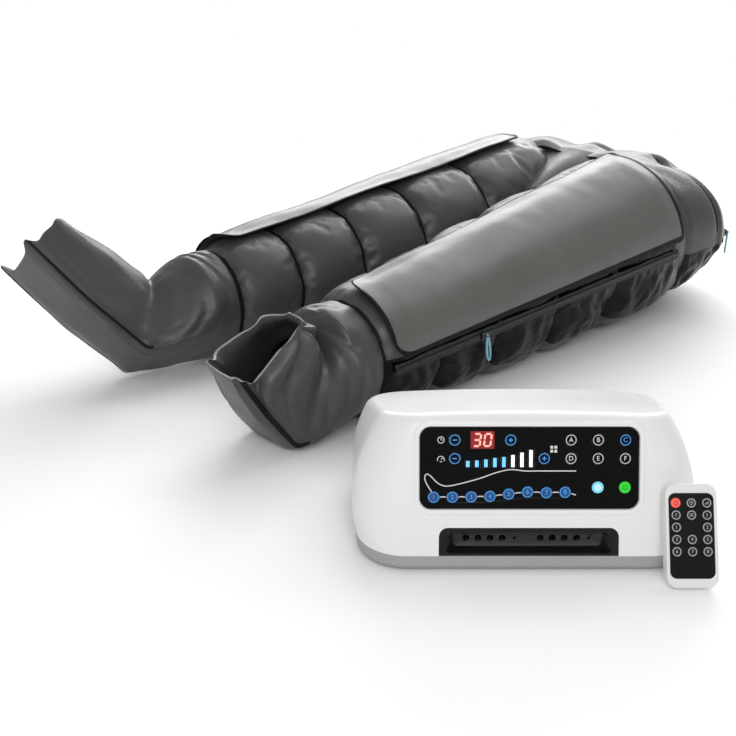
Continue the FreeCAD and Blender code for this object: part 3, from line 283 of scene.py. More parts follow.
def inflate(item, free, cut, place, reach):
    """Blows a piece up by cloth simulation and keeps the result, no point moving further than reach.

    free(row, column) says which points may move and cut(row, column) where the cloth lies before it is sewn.
    """
    frames = 20
    spots = [divmod(entry.value, 1000) for entry in item.data.attributes["spot"].data]
    start = [vert.co.copy() for vert in item.data.vertices]
    sewn = item.vertex_groups.new(name="sewn")
    sewn.add([index for index, spot in enumerate(spots) if not free(*spot)], 1, "REPLACE")
    item.shape_key_add(name="sewn")
    pattern = item.shape_key_add(name="cut")
    for point, spot in zip(pattern.data, spots):
        point.co = place @ cut(*spot)
    made = item.modifiers.new("air", "CLOTH")
    made.settings.vertex_group_mass = "sewn"
    made.settings.rest_shape_key = pattern
    made.settings.use_pressure = True
    made.settings.uniform_pressure_force = 16
    made.settings.mass = 0.05
    made.settings.bending_stiffness = 0.25
    made.settings.shrink_min = -0.05
    made.settings.effector_weights.gravity = 0
    made.settings.quality = 4
    made.collision_settings.use_collision = False
    made.point_cache.frame_end = frames
    for step in range(frames):
        bpy.context.scene.frame_set(step + 1)
    swollen = item.evaluated_get(bpy.context.evaluated_depsgraph_get()).data.vertices
    moves = [vert.co - spot for vert, spot in zip(swollen, start)]
    item.modifiers.remove(made)
    item.shape_key_clear()
    item.vertex_groups.clear()
    for vert, spot, move in zip(item.data.vertices, start, moves):
        vert.co = spot + move * min(1, reach / max(move.length, 1e-6))
    bpy.context.scene.frame_set(1)


def refine(item):
    """Adds a subdivision surface."""
    made = item.modifiers.new("smooth_cloth", "SUBSURF")
    made.levels = made.render_levels = 1


def thicken(item, wall):
    """Adds a wall outside a surface, with a thickness in metres."""
    made = item.modifiers.new("wall", "SOLIDIFY")
    made.thickness, made.offset = wall, 1


def moulding(node, materials, angle=32):
    """Joined, smoothly shaded copy of a CAD node, which stands for it."""
    bm = bmesh.new()
    bm.from_mesh(frame["nodes"][node].data)
    bmesh.ops.remove_doubles(bm, verts=bm.verts, dist=1e-5)
    bmesh.ops.dissolve_degenerate(bm, dist=1e-5, edges=bm.edges)
    shade_smooth(bm)
    made = piece(f"{node}_finished", bm, frame["nodes"][node]["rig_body"], materials)
    made.data.set_sharp_from_angle(angle=radians(angle))
    shading = made.modifiers.new("even_shading", "WEIGHTED_NORMAL")
    shading.keep_sharp = True
    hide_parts(node)
    return made


def coat(node, item):
    """Gives a CAD node that shows its material."""
    data = frame["nodes"][node].data
    data.materials.clear()
    data.materials.append(item)


def plate(bm, width, height, corner, spot, low, high, bevel=0.0):
    """Adds a plate with rounded corners between two levels, its upper edge bevelled, and returns its top."""
    place = Matrix.Translation((*spot, low)) @ Matrix.Diagonal((width, height, 1, 1))
    points = bmesh.ops.create_grid(bm, x_segments=1, y_segments=1, size=0.5, matrix=place)["verts"]
    if corner:
        points = soften(bm, points, corner, 6, "VERTICES")
    top = extrude(bm, list(faces_of(points)), high - low)
    if bevel:
        soften(bm, list({edge for cell in top for edge in cell.edges}), bevel, 2)
    return top


def ring(bm, inner, outer, spot, low, high):
    """Adds a flat printed ring, with a little height."""
    segments = 28

    def at(row, column):
        turn = tau * column / segments
        radius, level = ((inner, low), (inner, high), (outer, high), (outer, low), (inner, low))[row]
        return Vector((spot[0] + radius * cos(turn), spot[1] + radius * sin(turn), level))

    grid(bm, 4, segments, at, turn=True)


def stroke(bm, points, width, low, high):
    """Adds a printed line through points, as a low bar with square ends."""
    lane = [Vector(point) for point in points]

    def at(row, column):
        before, after = lane[max(row - 1, 0)], lane[min(row + 1, len(lane) - 1)]
        along = (after - before).normalized()
        side = Vector((-along.y, along.x)) * width / 2
        offset, level = ((-1, low), (-1, high), (1, high), (1, low), (-1, low))[column]
        spot = lane[row] + side * offset
        return Vector((spot.x, spot.y, level))

    grid(bm, len(lane) - 1, 4, at)


def sign(bm, text, height, spot, low, high):
    """Adds a printed figure or letter, drawn by the text tool and made a mesh."""
    curve = bpy.data.curves.new("sign", "FONT")
    curve.body, curve.size, curve.align_x, curve.align_y = text, height * 1.37, "CENTER", "CENTER"
    curve.extrude = (high - low) / 2
    holder = bpy.data.objects.new("sign", curve)
    bpy.context.scene.collection.objects.link(holder)
    bpy.context.view_layer.update()
    data = bpy.data.meshes.new_from_object(holder.evaluated_get(bpy.context.evaluated_depsgraph_get()))
    data.transform(Matrix.Translation((*spot, (low + high) / 2)))
    bm.from_mesh(data)
    bpy.data.objects.remove(holder)
    bpy.data.curves.remove(curve)
    bpy.data.meshes.remove(data)


def arc(spot, radius, start, step):
    """Points of an arc, with its angles in degrees."""
    turns = [radians(start + step * index) for index in range(11)]
    return [(spot[0] + radius * cos(turn), spot[1] + radius * sin(turn)) for turn in turns]


def power_sign(bm, spot, radius, reach, width, levels):
    """Adds the sign of a power key: an open ring with a stroke through its gap."""
    x, y = spot
    stroke(bm, arc(spot, radius, 125, 29), width, *levels)
    stroke(bm, [(x, y + 0.3), (x, y + reach)], width, *levels)


def clock_sign(bm, spot, radii, hands, width, levels):
    """Adds a clock: a ring with a hand that points up and one that points to the right."""
    x, y = spot
    ring(bm, *radii, spot, *levels)
    stroke(bm, [spot, (x, y + hands[0])], width, *levels)
    stroke(bm, [(x - 0.2, y), (x + hands[1], y)], width, *levels)


def blend(low, high, value):
    """Smooth step from 0 at low to 1 at high."""
    share = min(max((value - low) / (high - low), 0), 1)
    return share * share * (3 - 2 * share)


def bell(value, spread):
    return exp(-(value / spread) ** 2)


def power(value, share):
    """Signed power, which squares a circle off."""
    return abs(value) ** share * (1 if value >= 0 else -1)


def through(stations, place):
    """Smooth curve through stations of equal spacing."""
    index = min(int(place), len(stations) - 2)
    share = place - index
    before = stations[max(index - 1, 0)]
    start, end = stations[index], stations[index + 1]
    after = stations[min(index + 2, len(stations) - 1)]
    return (start * 2 + (end - before) * share + (before * 2 - start * 5 + end * 4 - after) * share ** 2
            + (start * 3 - before - end * 3 + after) * share ** 3) * 0.5


def along_runs(stations, place, ease=0.14):
    """Straight runs through stations, eased a little round each one."""
    total = stations[0] * 0
    for step in (-1, -0.5, 0, 0.5, 1):
        spot = min(max(place + step * ease, 0), len(stations) - 1.001)
        index = int(spot)
        total = total + stations[index] + (stations[index + 1] - stations[index]) * (spot - index)
    return total / 5


def rumple(spot, width, seed):
    """Smooth noise from -1 to 1 with folds of a given width."""
    return noise.noise(Vector(spot) / width + Vector((seed * 17.3, seed * 5.1, seed * 9.7)))


# Trousers

def leg_radius(along):
    return THIGH_RADIUS - LEG_TAPER * along / TAPER_RUN


def leg_level(along):
    return leg_radius(along) + LEG_LIFT + LEG_CLIMB * along / TAPER_RUN


def eased(value, gap, run):
    """Value that settles to a gap over a run, in place of falling below it."""
    start = gap + run
    return gap + run * exp((value - start) / run) if value < start else value


def round_leg(side, along, radius, turn, drop=0):
    """Point on a circle round a leg's middle line, in the leg's frame. turn runs from its outer side."""
    return Vector((along, side * radius * cos(turn), leg_level(along) + radius * sin(turn) - drop))


def laid(side, spot):
    """Point of a leg in the trousers' frame."""
    turn = side * LEG_SPLAY
    return Vector((LEG_ROOT[0] + spot.x * cos(turn) - spot.y * sin(turn),
                   side * LEG_ROOT[1] + spot.x * sin(turn) + spot.y * cos(turn), spot.z))


def settled(side, spot):
    """Point of a leg in the trousers' frame, pressed flat on the floor and against the other leg."""
    x, y, z = laid(side, spot)
    y *= side
    if spot.x < PARTING:
        y = eased(y, *MIDDLE)
    return Vector((x, side * y, eased(z, *FLOOR)))


def seam_gap(along):
    return min(abs(along - seam) for seam in SEAMS)


def swell(along):
    """How full a leg is, from 0 at a seam to 1 in the middle of a chamber."""
    for low, high in zip(SEAMS, SEAMS[1:]):
        if along <= high:
            share = abs(2 * (along - low) / (high - low) - 1)
            return (1 - min(share, 1) ** 2.3) ** 0.45
    return 0


def chamber_point(side, along, turn, look):
    """Point of an inflated chamber. turn runs from the outer side, 0, over the top."""
    full, gap = swell(along), seam_gap(along)
    radius = leg_radius(along) - look.crease * 1000 * (1 - full)
    flat = Vector((along, 60 * cos(turn), 60 * sin(turn)))
    pleat = rumple((0.25 * along, 70 * cos(turn), 70 * sin(turn)), 15, 3 + side)
    radius += look.pucker * 1000 * exp(-gap / 15) * (pleat + 0.3 * rumple(flat, 9, 8 + side))
    radius += 3.2 * full * (rumple(flat, 75, 5 + side) - 0.35)
    under = blend(radians(-3), radians(-10), turn) * blend(radians(-74), radians(-48), turn)
    if under:
        lane = (0.8 * along, 80 * turn, 3)
        ridge = 1 - 2.4 * abs(rumple(lane, 34, 21 + side))
        crimp = 1 - 2.4 * abs(rumple((1.3 * along, 60 * turn, 8), 24, 24 + side))
        radius += look.crumple * 1000 * under * (0.7 * ridge + 0.5 * crimp - 0.9)
    if radians(-12) < turn < radians(104):
        radius = min(radius, leg_radius(along) - 0.6)
    sag = (5 + 9 * along / TAPER_RUN) * max(-sin(turn), 0) ** 2
    return settled(side, round_leg(side, along, radius, turn, sag))


def boot_stations(side):
    """Sole points, instep points and widths of a boot, from the last chamber to the toe."""
    heel, crease, heel_width, sole, toe, toe_width, roll = BOOTS[side]
    heel, crease, sole, toe = Vector(heel), Vector(crease), Vector(sole), Vector(toe)
    lows, highs, widths = [], [], []
    for along, share in ((BOOT_START, 0.9), (BOOT_START + 40, 1)):
        radius = share * leg_radius(along)
        lows.append(Vector((along, 0, leg_level(along) - radius)))
        highs.append(Vector((along, 0, leg_level(along) + radius)))
        widths.append(2 * radius)
    out = Vector((0, 1, 0)).cross(sole - heel).normalized() * 6
    return (lows + [heel, (heel + sole) / 2 + out, sole], highs + [crease, (crease + toe) / 2 - out, toe],
            widths + [heel_width, (heel_width + toe_width) / 2 + 4, toe_width], radians(roll))


def boot_folds(side, place, turn):
    """How far the folds of a boot stand out at a place along its stations."""
    top, foot = max(sin(turn), 0), blend(1.0, 1.9, place)
    lane = (30 * place, 60 * cos(turn), 60 * sin(turn))
    height = 2.4 * rumple(lane, 40, 31 + side) + 1.3 * rumple(lane, 17, 34 + side) * foot
    # Pulled folds round the ankle, with sharp valleys
    pull = 46 * place + 22 * cos(turn) * side
    fold = abs(rumple((pull, 18 * sin(turn), 18 * cos(turn)), 27, 12 + side))
    height -= bell(place - 1.0, 0.75) * 5.0 * exp(-fold / 0.14)
    height -= 7 * exp(-abs(place - 1.86 + 0.10 * cos(turn)) / 0.10) * top ** 0.7
    height += 3.5 * bell(place - 2.15, 0.2) * top ** 2
    # Small pleats where the boot is sewn to the last chamber
    height -= 1.6 * exp(-place / 0.3) * (1 + rumple((0, 70 * cos(turn), 70 * sin(turn)), 14, 6))
    if side == LEFT:
        # Folds that spread from the gathered corner of the near lip, round on top with sharp valleys
        across, down = 75 * (4.0 - place), 48 * (0.75 - turn)
        spread = sqrt(across * across + down * down)
        fan = atan2(across, down)
        fold = 2 * abs(cos(pi * (fan - radians(20)) / radians(29))) - 1
        fold *= blend(radians(-4), radians(8), fan) * blend(radians(118), radians(95), fan)
        height += 9 * fold * blend(6, 40, spread) * blend(150, 70, spread) * blend(-0.72, -0.3, turn)
        height -= 4.0 * exp(-abs(place - 1.66 - 0.12 * turn) / 0.05) * bell(turn + 0.35, 0.5)
    else:
        # The heel is boxed: its seam stands up between the sole and the ankle
        height += 6.0 * exp(-abs(place - 2.0) / 0.08) * blend(0.35, -0.5, sin(turn))
    # The sole's edges stand up as a stitched ridge beside a groove
    for corner in (radians(-45), radians(-135)):
        ridge = 2.8 * bell(turn - corner, radians(5))
        groove = 2.4 * bell(turn - corner - radians(10), radians(5))
        height += foot * (ridge - groove)
    return height


def boot_point(side, share, turn, wall):
    """Point of a boot. share runs from the last chamber, 0, to the rim of the open toe, 1."""
    lows, highs, widths, roll = boot_stations(side)
    outer, top = max(cos(turn), 0), max(sin(turn), 0)
    if side == LEFT:
        rim = 4.04 - 0.42 * bell(turn + 0.25, 0.75) + 0.05 * sin(5 * turn)
    else:
        rim = 4.02 + 0.10 * bell(turn + 0.8, 0.5) + 0.06 * sin(5 * turn)
    place = share * rim
    ease = 0.07 * blend(4.0, 3.7, place)
    low, high, width = (along_runs(items, min(place, 3.999), ease) for items in (lows, highs, widths))
    if place > 3.999:
        low = low + (lows[4] - lows[3]) * (place - 4)
        high = high + (highs[4] - highs[3]) * (place - 4)
    rise = high - low
    tall, rise = rise.length, rise.normalized()
    foot = blend(1.0, 1.9, place)
    sole_square, top_square = (2.8, 0.5) if side == LEFT else (4.0, 0.3)
    square = 2 + foot * (sole_square if sin(turn) < 0 else top_square)
    half, deep = width / 2 - wall, tall / 2 - wall
    if side == LEFT:
        near_sole = blend(0.5, -0.7, sin(turn)) * blend(-0.2, 0.4, cos(turn))
        half *= 1 - 0.3 * blend(2.0, 4.0, place) * near_sole
    x = half * power(cos(turn), 2 / square)
    z = deep * power(sin(turn), 2 / square)
    swelling = 0 if wall else boot_folds(side, place, turn)
    size = max(sqrt(x * x + z * z), 1)
    x, z = x * (1 + swelling / size), z * (1 + swelling / size)
    if side == LEFT:
        x -= 15 * outer ** 2 * blend(0.76, 1.0, share) * (1 if not wall else 0.9)
        x += 5 * sin(7 * turn) * blend(0.86, 1.0, share) * (1 - outer)
    else:
        # The open toe has fallen in: its near wall leans in under the instep
        z -= 0.42 * deep * blend(0.72, 1.0, share) * top ** 2 * (0.35 + 0.65 * outer)
        x += 3 * sin(6 * turn + 1) * blend(0.8, 1.0, share) * top
    spot = (low + high) / 2 + Vector((0, side * x, 0)) + rise * z
    angle = roll * blend(0, 1.3, place)
    level = leg_level(BOOT_START)
    y, up = spot.y, spot.z - level
    y, up = y * cos(angle) - up * sin(angle), y * sin(angle) + up * cos(angle)
    return settled(side, Vector((spot.x, y, level + up)))


def sleeve(side, look):
    """Closed shell of one leg: outside down to the toe, over the rim and back along the lining."""
    columns = 112
    outer = [SEAMS[0]]
    for low, high in zip(SEAMS, SEAMS[1:]):
        steps = round((high - low - 4) / 4.8)
        outer += [low + 2 + (high - low - 4) * step / steps for step in range(steps + 1)] + [high]
    outside = [step / 46 for step in range(1, 47)]
    inside = [1 - step / 20 for step in range(0, 21)]
    inner = [BOOT_START - (BOOT_START - SEAMS[0]) * step / 12 for step in range(1, 13)]
    parts = (("chamber", outer), ("boot", outside), ("lining", inside), ("tube", inner),
             ("chamber", SEAMS[:1]))
    rows = [(kind, value) for kind, values in parts for value in values]
    edge = len(outer) + len(outside)
    corners = [round(columns * (0.5 - degrees / 360)) for degrees in (45, 135)]
    piped = [corner + step for corner in corners for step in (-2, -1, 0, 1)]

    def at(row, column):
        kind, value = rows[row]
        turn = tau * column / columns - pi
        if kind == "chamber":
            return chamber_point(side, value, turn, look)
        if kind == "boot":
            return boot_point(side, value, turn, 0)
        if kind == "lining":
            return boot_point(side, value, turn, 1.5 if value > 0.98 else 8)
        return settled(side, round_leg(side, value, leg_radius(value) - 22, turn))

    def cloth(row, column):
        turn = 360 * (column + 0.5) / columns - 180
        # The rim row takes the pale painted highlight
        if row == edge - 1:
            return 4
        if row >= edge:
            return 1
        if rows[row][0] == "boot":
            return 2 if rows[row][1] > 0.46 and column in piped else 0
        # Below the leg zip the crumpled cloth takes the near-black painted shade
        if 45 < rows[row][1] < 572 and -46 < turn < 9:
            return 3
        return 2 if rows[row][1] in SEAMS or rows[row + 1][1] in SEAMS else 0

    def free(row, column):
        kind, value = rows[row]
        spot = at(row, column)
        if spot.z < sum(FLOOR) or kind != "chamber":
            return False
        covered = radians(-9) < tau * column / columns - pi < radians(103)
        pressed = spot.y * side < sum(MIDDLE) + 1 and value < PARTING
        return not covered and not pressed and seam_gap(value) > 1

    def cut(row, column):
        kind, value = rows[row]
        if kind != "chamber":
            return at(row, column)
        # Two parts in a hundred wider than the leg
        return laid(side, round_leg(side, value, 1.02 * leg_radius(value), tau * column / columns - pi))

    bm = bmesh.new()
    bm.verts.layers.int.new("spot")
    grid(bm, len(rows) - 1, columns, at, cloth, turn=side == LEFT)
    return bm, free, cut


# Half width, half height and middle level of the hips at equal steps from the waist
HIP_STEP = 95
HIP_STATIONS = [Vector(values) for values in
                ((160, 56, 98), (213, 106, 106.6), (211, 113, 113.6), (205, 113, 113.6))]
# Start and end of a fold, along and across the hips, its width and its share of the full height
HIP_FOLDS = (
    ((205, -6), (60, -150), 20, 0.9), ((200, 8), (60, 120), 20, 0.9), ((190, -34), (110, -195), 18, 0.6),
    ((196, 34), (110, 190), 18, 0.6), ((190, 0), (24, -30), 20, 0.7), ((150, 84), (8, 118), 15, 0.5),
)


def fold_height(x, y):
    """Height of the cloth folds that run from the crotch over the hips."""
    height = 0
    for start, end, width, share in HIP_FOLDS:
        a, b, p = Vector(start), Vector(end), Vector((x, y))
        part = min(max((p - a).dot(b - a) / (b - a).length_squared, 0), 1)
        gap = (p - a - (b - a) * part).length
        fade = sin(pi * min(0.15 + 0.85 * part, 1))
        height += share * fade * (bell(gap, width) - 0.7 * bell(gap - 2 * width, width))
    return height


def hip_point(along, turn, wall, look):
    """Point of the hips, or of their lining inside a wall."""
    half, deep, level = through(HIP_STATIONS, min(along / HIP_STEP, 2.999))
    under = 0.74 + 1.1 * blend(190, 40, along) if sin(turn) < 0 else 0.74
    x, z = (half - wall) * power(cos(turn), 0.74), (deep - wall) * power(sin(turn), under)
    if not wall:
        top = max(sin(turn), 0)
        lift = look.fold * 1000 * top * fold_height(along, x) * blend(4, 40, along)
        lift += 1.2 * rumple((along, x, z), 70, 14) * blend(0, 30, along)
        lift += 1.3 * bell(along - 9, 5) - 1.6 * bell(along - 17, 3)
        # Waistband seam: a groove beside a stitched ridge
        lift += 2.5 * bell(along - 100, 6) - 3.5 * bell(along - 110, 4)
        dip = turn
        if cos(turn) <= 0:
            dip = pi - turn if turn > 0 else -pi - turn
        ridge = 1 - 2.4 * abs(rumple((along, 80 * sin(turn), 3), 24, 27))
        below = blend(radians(-3), radians(-12), dip)
        lift += look.crumple * 900 * below * (ridge - 0.6) * blend(10, 40, along)
        lift -= 9 * blend(172, 188, along) * (1 - 0.6 * top * bell(x, 70))
        size = max(sqrt(x * x + z * z), 1)
        x, z = x * (1 + lift / size), z * (1 + lift / size)
    z -= 14 * blend(110, 185, along) * bell(x, 44) * max(sin(turn), 0) ** 2
    return Vector((along, x, eased(z + level, *FLOOR)))


def hips(look):
    """Closed shell of the hips: outside, round the leg ends and back along the lining to the waist."""
    columns, saddle = 150, (26, 48)
    outside = [188 * step / 47 for step in range(48)]
    inside = [176 - 176 * step / 16 for step in range(17)]
    rows = [(value, 0) for value in outside]
    rows += [(value, 18 if value > 4 else 5) for value in inside] + [(0, 0)]

    def at(row, column):
        along, wall = rows[row]
        return hip_point(along, tau * column / columns - pi, wall, look)

    def cloth(row, column):
        degrees = 360 * (column + 0.5) / columns - 180
        if row >= len(outside):
            return 1
        if row in (27, 46) and 4 < degrees < 176:
            return 2
        # The lower sides of the hips take the near-black painted shade
        return 3 if row > 3 and (-64 < degrees < -3 or -177 < degrees < -116) else 0

    def gusset(row, column):
        share, turn = row / saddle[0], tau * column / saddle[1] - pi
        half, top, low = 112 - 84 * share ** 1.1, 226 - 62 * share ** 1.3, 12 + 40 * share
        # Both ends are rounded shut
        close = sqrt(max(1 - max(share - 0.86, 0) ** 2 / 0.0196, 0))
        close *= sqrt(max(1 - max(0.12 - share, 0) ** 2 / 0.0144, 0))
        wave = 3.4 * sin(9 * cos(turn) + 1.5 * share) * blend(0.1, 0.4, share)
        wave += 1.5 * rumple((90 * share, 40 * cos(turn), 0), 22, 4)
        return Vector((152 + 140 * share, (half + wave) * power(cos(turn), 0.8) * close,
                       (top + low) / 2 + ((top - low) / 2 + wave) * power(sin(turn), 0.8) * close))

    bm = bmesh.new()
    grid(bm, len(rows) - 1, columns, at, cloth, turn=True)
    grid(bm, *saddle, gusset, turn=True)
    return bm


# Where a cover starts and ends along the leg
COVER_START, COVER_END = 34, 568


def cover_point(side, along, share, look):
    """Point of a cover's inner face. share runs from its zip edge, 0, to its upper edge, 1."""
    far = min(COVER_END - along, along - COVER_START)
    corner = 26 if along > 300 else 8
    inset = corner - sqrt(max(corner ** 2 - max(corner - far, 0) ** 2, 0))
    radius = leg_radius(along)
    low, high = radians(7.5) + inset / radius, radians(100) - inset / radius
    turn = low + (high - low) * share
    across = (high - low) * radius
    edge = min(far, share * across, (1 - share) * across)
    full = 0.55 + 0.75 * rumple((along, 130 * share, 0), 105, 41 + side)
    stand = 1.6 + look.billow * 1000 * blend(0, 36, edge) * full
    stand += 2.6 * blend(16, 0, (1 - share) * across) * (0.7 + 0.6 * sin(along / 37 + side))
    stand += 5.0 * blend(30, 0, COVER_END - along) * share
    stand += 0.6 * rumple((along, 130 * share, 9), 26, 7)
    radius += max(stand, 0.9)
    return laid(side, round_leg(side, along, radius, turn))


def cover(side, look):
    """Cover that lies over the outer side and the top of a leg, with a taped edge."""
    rows, columns = 132, 40

    def at(row, column):
        return cover_point(side, COVER_START + (COVER_END - COVER_START) * row / rows, column / columns, look)

    def taped(row, column):
        return 1 if row < 2 or row == rows - 1 or column < 2 or column == columns - 1 else 0

    bm = bmesh.new()
    grid(bm, rows, columns, at, taped, turn=side == LEFT)
    return bm


# Ends of the zips, from the waist and from the hip, and how far they lie off the cloth
WAIST_ZIP, LEG_ZIP, ZIP_GAP = (12, 88), (45, 570), 0.3
# Half width and level of the waist, and how much they grow over the first step of the hips
WAIST, WAIST_FLARE = (160, 98), (53, 8.45)


def zip_lane(side, waist):
    """Start and end of a zip's middle line, in the trousers' frame."""
    if waist:
        shares = [along / HIP_STEP for along in WAIST_ZIP]
        return [Vector((HIP_STEP * share, side * (WAIST[0] + WAIST_FLARE[0] * share + ZIP_GAP),
                        WAIST[1] + WAIST_FLARE[1] * share)) for share in shares]
    return [laid(side, round_leg(side, along, leg_radius(along) + ZIP_GAP, 0)) for along in LEG_ZIP]


def zip_frame(side, waist, share):
    """Frame on a zip: X along it, Y out of the cloth, Z up."""
    start, end = zip_lane(side, waist)
    along = (end - start).normalized() * side
    out = Vector((0, 0, 1)).cross(along).normalized()
    up = along.cross(out)
    return Matrix.Translation(start + (end - start) * share) @ Matrix((along, out, up)).transposed().to_4x4()


def zips():
    """Tapes and teeth of the two long leg zips and the two waist zips."""
    bm = bmesh.new()
    for side, waist in ((LEFT, False), (LEFT, True), (RIGHT, False), (RIGHT, True)):
        start, end = zip_lane(side, waist)
        reach = (end - start).length
        place = zip_frame(side, waist, 0.5)
        rows = round(reach / 6)

        def at(row, column):
            x = reach * (row / rows - 0.5)
            z = (-7, -4.2, -1.6, 1.6, 4.2, 7)[column]
            edge = 1.8 * rumple((x, 0, z), 22, 9) if abs(z) > 5 else 0
            wave = 0.5 * rumple((x, z * 4, 0), 15, 9)
            return place @ Vector((x, 0.9 + wave + (0.5 if abs(z) < 2 else 0), z + edge))

        grid(bm, rows, 5, at)
        teeth = round(reach / 3.5)
        for step in range(teeth):
            x = reach * ((step + 0.5) / teeth - 0.5)
            for lean in (-1, 1):
                shift = Matrix.Translation((x + 0.8 * lean, 2.0, 1.1 * lean))
                seat = place @ shift @ Matrix.Diagonal((1.5, 1.3, 2.6, 1))
                tooth = bmesh.ops.create_cube(bm, size=1, matrix=seat)["verts"]
                for cell in faces_of(tooth):
                    cell.material_index = 1
    return bm


def slider(side, waist, share):
    """Zip slider with its bail and a loop of cord."""
    bm = bmesh.new()
    place = zip_frame(side, waist, share) @ Matrix.Translation((0, 2.6, 0))
    block = Matrix.Translation((0, 1.6, 0)) @ Matrix.Diagonal((13, 3.2, 9, 1))
    shell = bmesh.ops.create_cube(bm, size=1, matrix=block)
    for vert in shell["verts"]:
        vert.co.z *= 1.12 if vert.co.x > 0 else 0.72
    edges = list({edge for vert in shell["verts"] for edge in vert.link_edges})
    soften(bm, edges, 0.9, 3)

    def bail(row, column):
        turn, round_turn = pi * row / 12, tau * column / 8
        radius = 2.6 + 0.8 * cos(round_turn)
        return Vector((4.4 * cos(turn), 3.0 + radius * sin(turn), 0.9 * sin(round_turn)))

    grid(bm, 12, 8, bail)

    def loop(row, column):
        turn, round_turn = tau * row / 40, tau * column / 8
        down = (1 - cos(turn)) / 2
        width = 3.6 * sin(turn) * (0.42 + 0.58 * down)
        middle = Vector((width - 3 * down, 4.4 - 0.6 * down, -33.5 * down + 1.2))
        out = Vector((sin(turn), 0, cos(turn))).normalized()
        return middle + (out * cos(round_turn) + Vector((0, 1, 0)) * sin(round_turn)) * 1.5

    grid(bm, 40, 8, loop, lambda row, column: 1)
    bmesh.ops.recalc_face_normals(bm, faces=bm.faces)
    shade_smooth(bm)
    bmesh.ops.transform(bm, matrix=place, verts=bm.verts)
    return bm


# Coated nylon has a satin face with broad soft highlights
SATIN = {"specular": 0.55, "Sheen Weight": 0.06, "Sheen Roughness": 0.4}


class MASSAGER_OT_sleeves(bpy.types.Operator):
    """Sews both leg sleeves with their boots and blows them up"""
    bl_idname = "massager.sleeves"
    bl_label = "Leg sleeves"

    def execute(self, context):
        look = context.scene.massager_trousers
        # Coated nylon, woven and calendered: small creases under the satin face
        shell = finish("coated_nylon_shell", look.shell, 1.2, 60, (0.36, 0.44), (18, 0.6), weave=2.2, **SATIN)
        # The same nylon, crumpled under the zips and along the lower sides of the hips: painted near black as
        # shade where the cloth turns under, with many small sparks
        gusset = finish("crumpled_nylon_painted_shade", "#060606", "#0c0c0c", 20, (0.2, 0.3), (10, 1.7),
                        specular=0.22)
        # Thin pale line along the rims of the open toes: a painted highlight on the rim's edge
        edge = finish("rim_painted_highlight", look.edge, 0.8, 10, (0.35, 0.45), (3, 0.2))
        # Brushed polyester lining: dark and without shine
        lining = finish("brushed_polyester_lining", look.lining, 1.4, 30, (0.7, 0.85), (5, 0.4), weave=2.2)
        # Folded nylon tape, ribbed: darker than the shell and a little rough
        tape = finish("ribbed_nylon_tape", look.binding_colour, 1.5, 12, (0.5, 0.62), (3, 0.3), weave=1.8,
                      specular=0.2)
        for side, name in SIDES:
            bm, free, cut = sleeve(side, look)
            made = piece(f"{name}_leg_chambers", bm, "set",
                         (shell, lining, tape, gusset, edge), TROUSERS)
            inflate(made, free, cut, TROUSERS, 0.012)
            made.data.attributes.remove(made.data.attributes["spot"])
            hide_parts(f"{name}_leg_sleeve")
            refine(made)
        return {"FINISHED"}


class MASSAGER_OT_hips(bpy.types.Operator):
    """Sews the hips with the gusset between the legs, in the sleeves' cloth"""
    bl_idname = "massager.hips"
    bl_label = "Hips"

    def execute(self, context):
        names = ("coated_nylon_shell", "brushed_polyester_lining", "ribbed_nylon_tape",
                 "crumpled_nylon_painted_shade")
        cloth = [bpy.data.materials[name] for name in names]
        bm = hips(context.scene.massager_trousers)
        made = piece("hip_yoke", bm, "set", cloth, TROUSERS)
        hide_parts("hip_section")
        refine(made)
        return {"FINISHED"}


class MASSAGER_OT_covers(bpy.types.Operator):
    """Lays a taped cover over each leg"""
    bl_idname = "massager.covers"
    bl_label = "Leg covers"

    def execute(self, context):
        look = context.scene.massager_trousers
        # The same nylon in a paler colour, unpadded: smoother and a little glossier
        face = finish("coated_nylon_cover", look.cover, 1.18, 90, (0.34, 0.42), (30, 0.6), weave=2.2, **SATIN)
        tape = bpy.data.materials["ribbed_nylon_tape"]
        for side, name in SIDES:
            bm = cover(side, look)
            made = piece(f"{name}_leg_cover", bm, "set", (face, tape), TROUSERS)
            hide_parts("cover_panels")
            thicken(made, 0.0022)
            refine(made)
        return {"FINISHED"}


class MASSAGER_OT_zips(bpy.types.Operator):
    """Lays the zips and hangs a corded slider on each"""
    bl_idname = "massager.zips"
    bl_label = "Zips"

    def execute(self, context):
        look = context.scene.massager_trousers
        # Woven zip tape, dyed black: matt with a fine rib
        tape = finish("woven_zip_tape", "#1d1d1e", "#2c2c2d", 14, (0.6, 0.75), (3, 0.2), weave=1.6)
        # Nylon coil, moulded: black with a small sharp shine
        coil = finish("nylon_zip_coil", "#171718", "#262627", 8, (0.28, 0.4), (2, 0.05))
        made = piece("zip_lanes", zips(), "set", (tape, coil), TROUSERS)
        thicken(made, 0.0007)
        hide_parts("zip_tapes")
        # Die-cast slider, black nickel plated
        metal = finish("black_nickel_slider", "#4a4b4d", "#5a5b5d", 6, (0.28, 0.4), (1.5, 0.05), Metallic=1.0)
        # Braided polyester cord: pale blue and dull, with a fine braid
        cord = finish("braided_cord", look.cord, 0.8, 4, (0.55, 0.7), (1.6, 0.3), weave=1.6)
        for side, name in SIDES:
            for waist, kind, ends, rest in ((False, "leg_zip", LEG_ZIP, 430), (True, "waist", WAIST_ZIP, 24)):
                node = f"{name}_{kind}_slider"
                bm = slider(side, waist, (rest - ends[0]) / (ends[1] - ends[0]))
                made = piece(f"{node}_corded", bm, node, (metal, cord), TROUSERS)
                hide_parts(node)
        return {"FINISHED"}


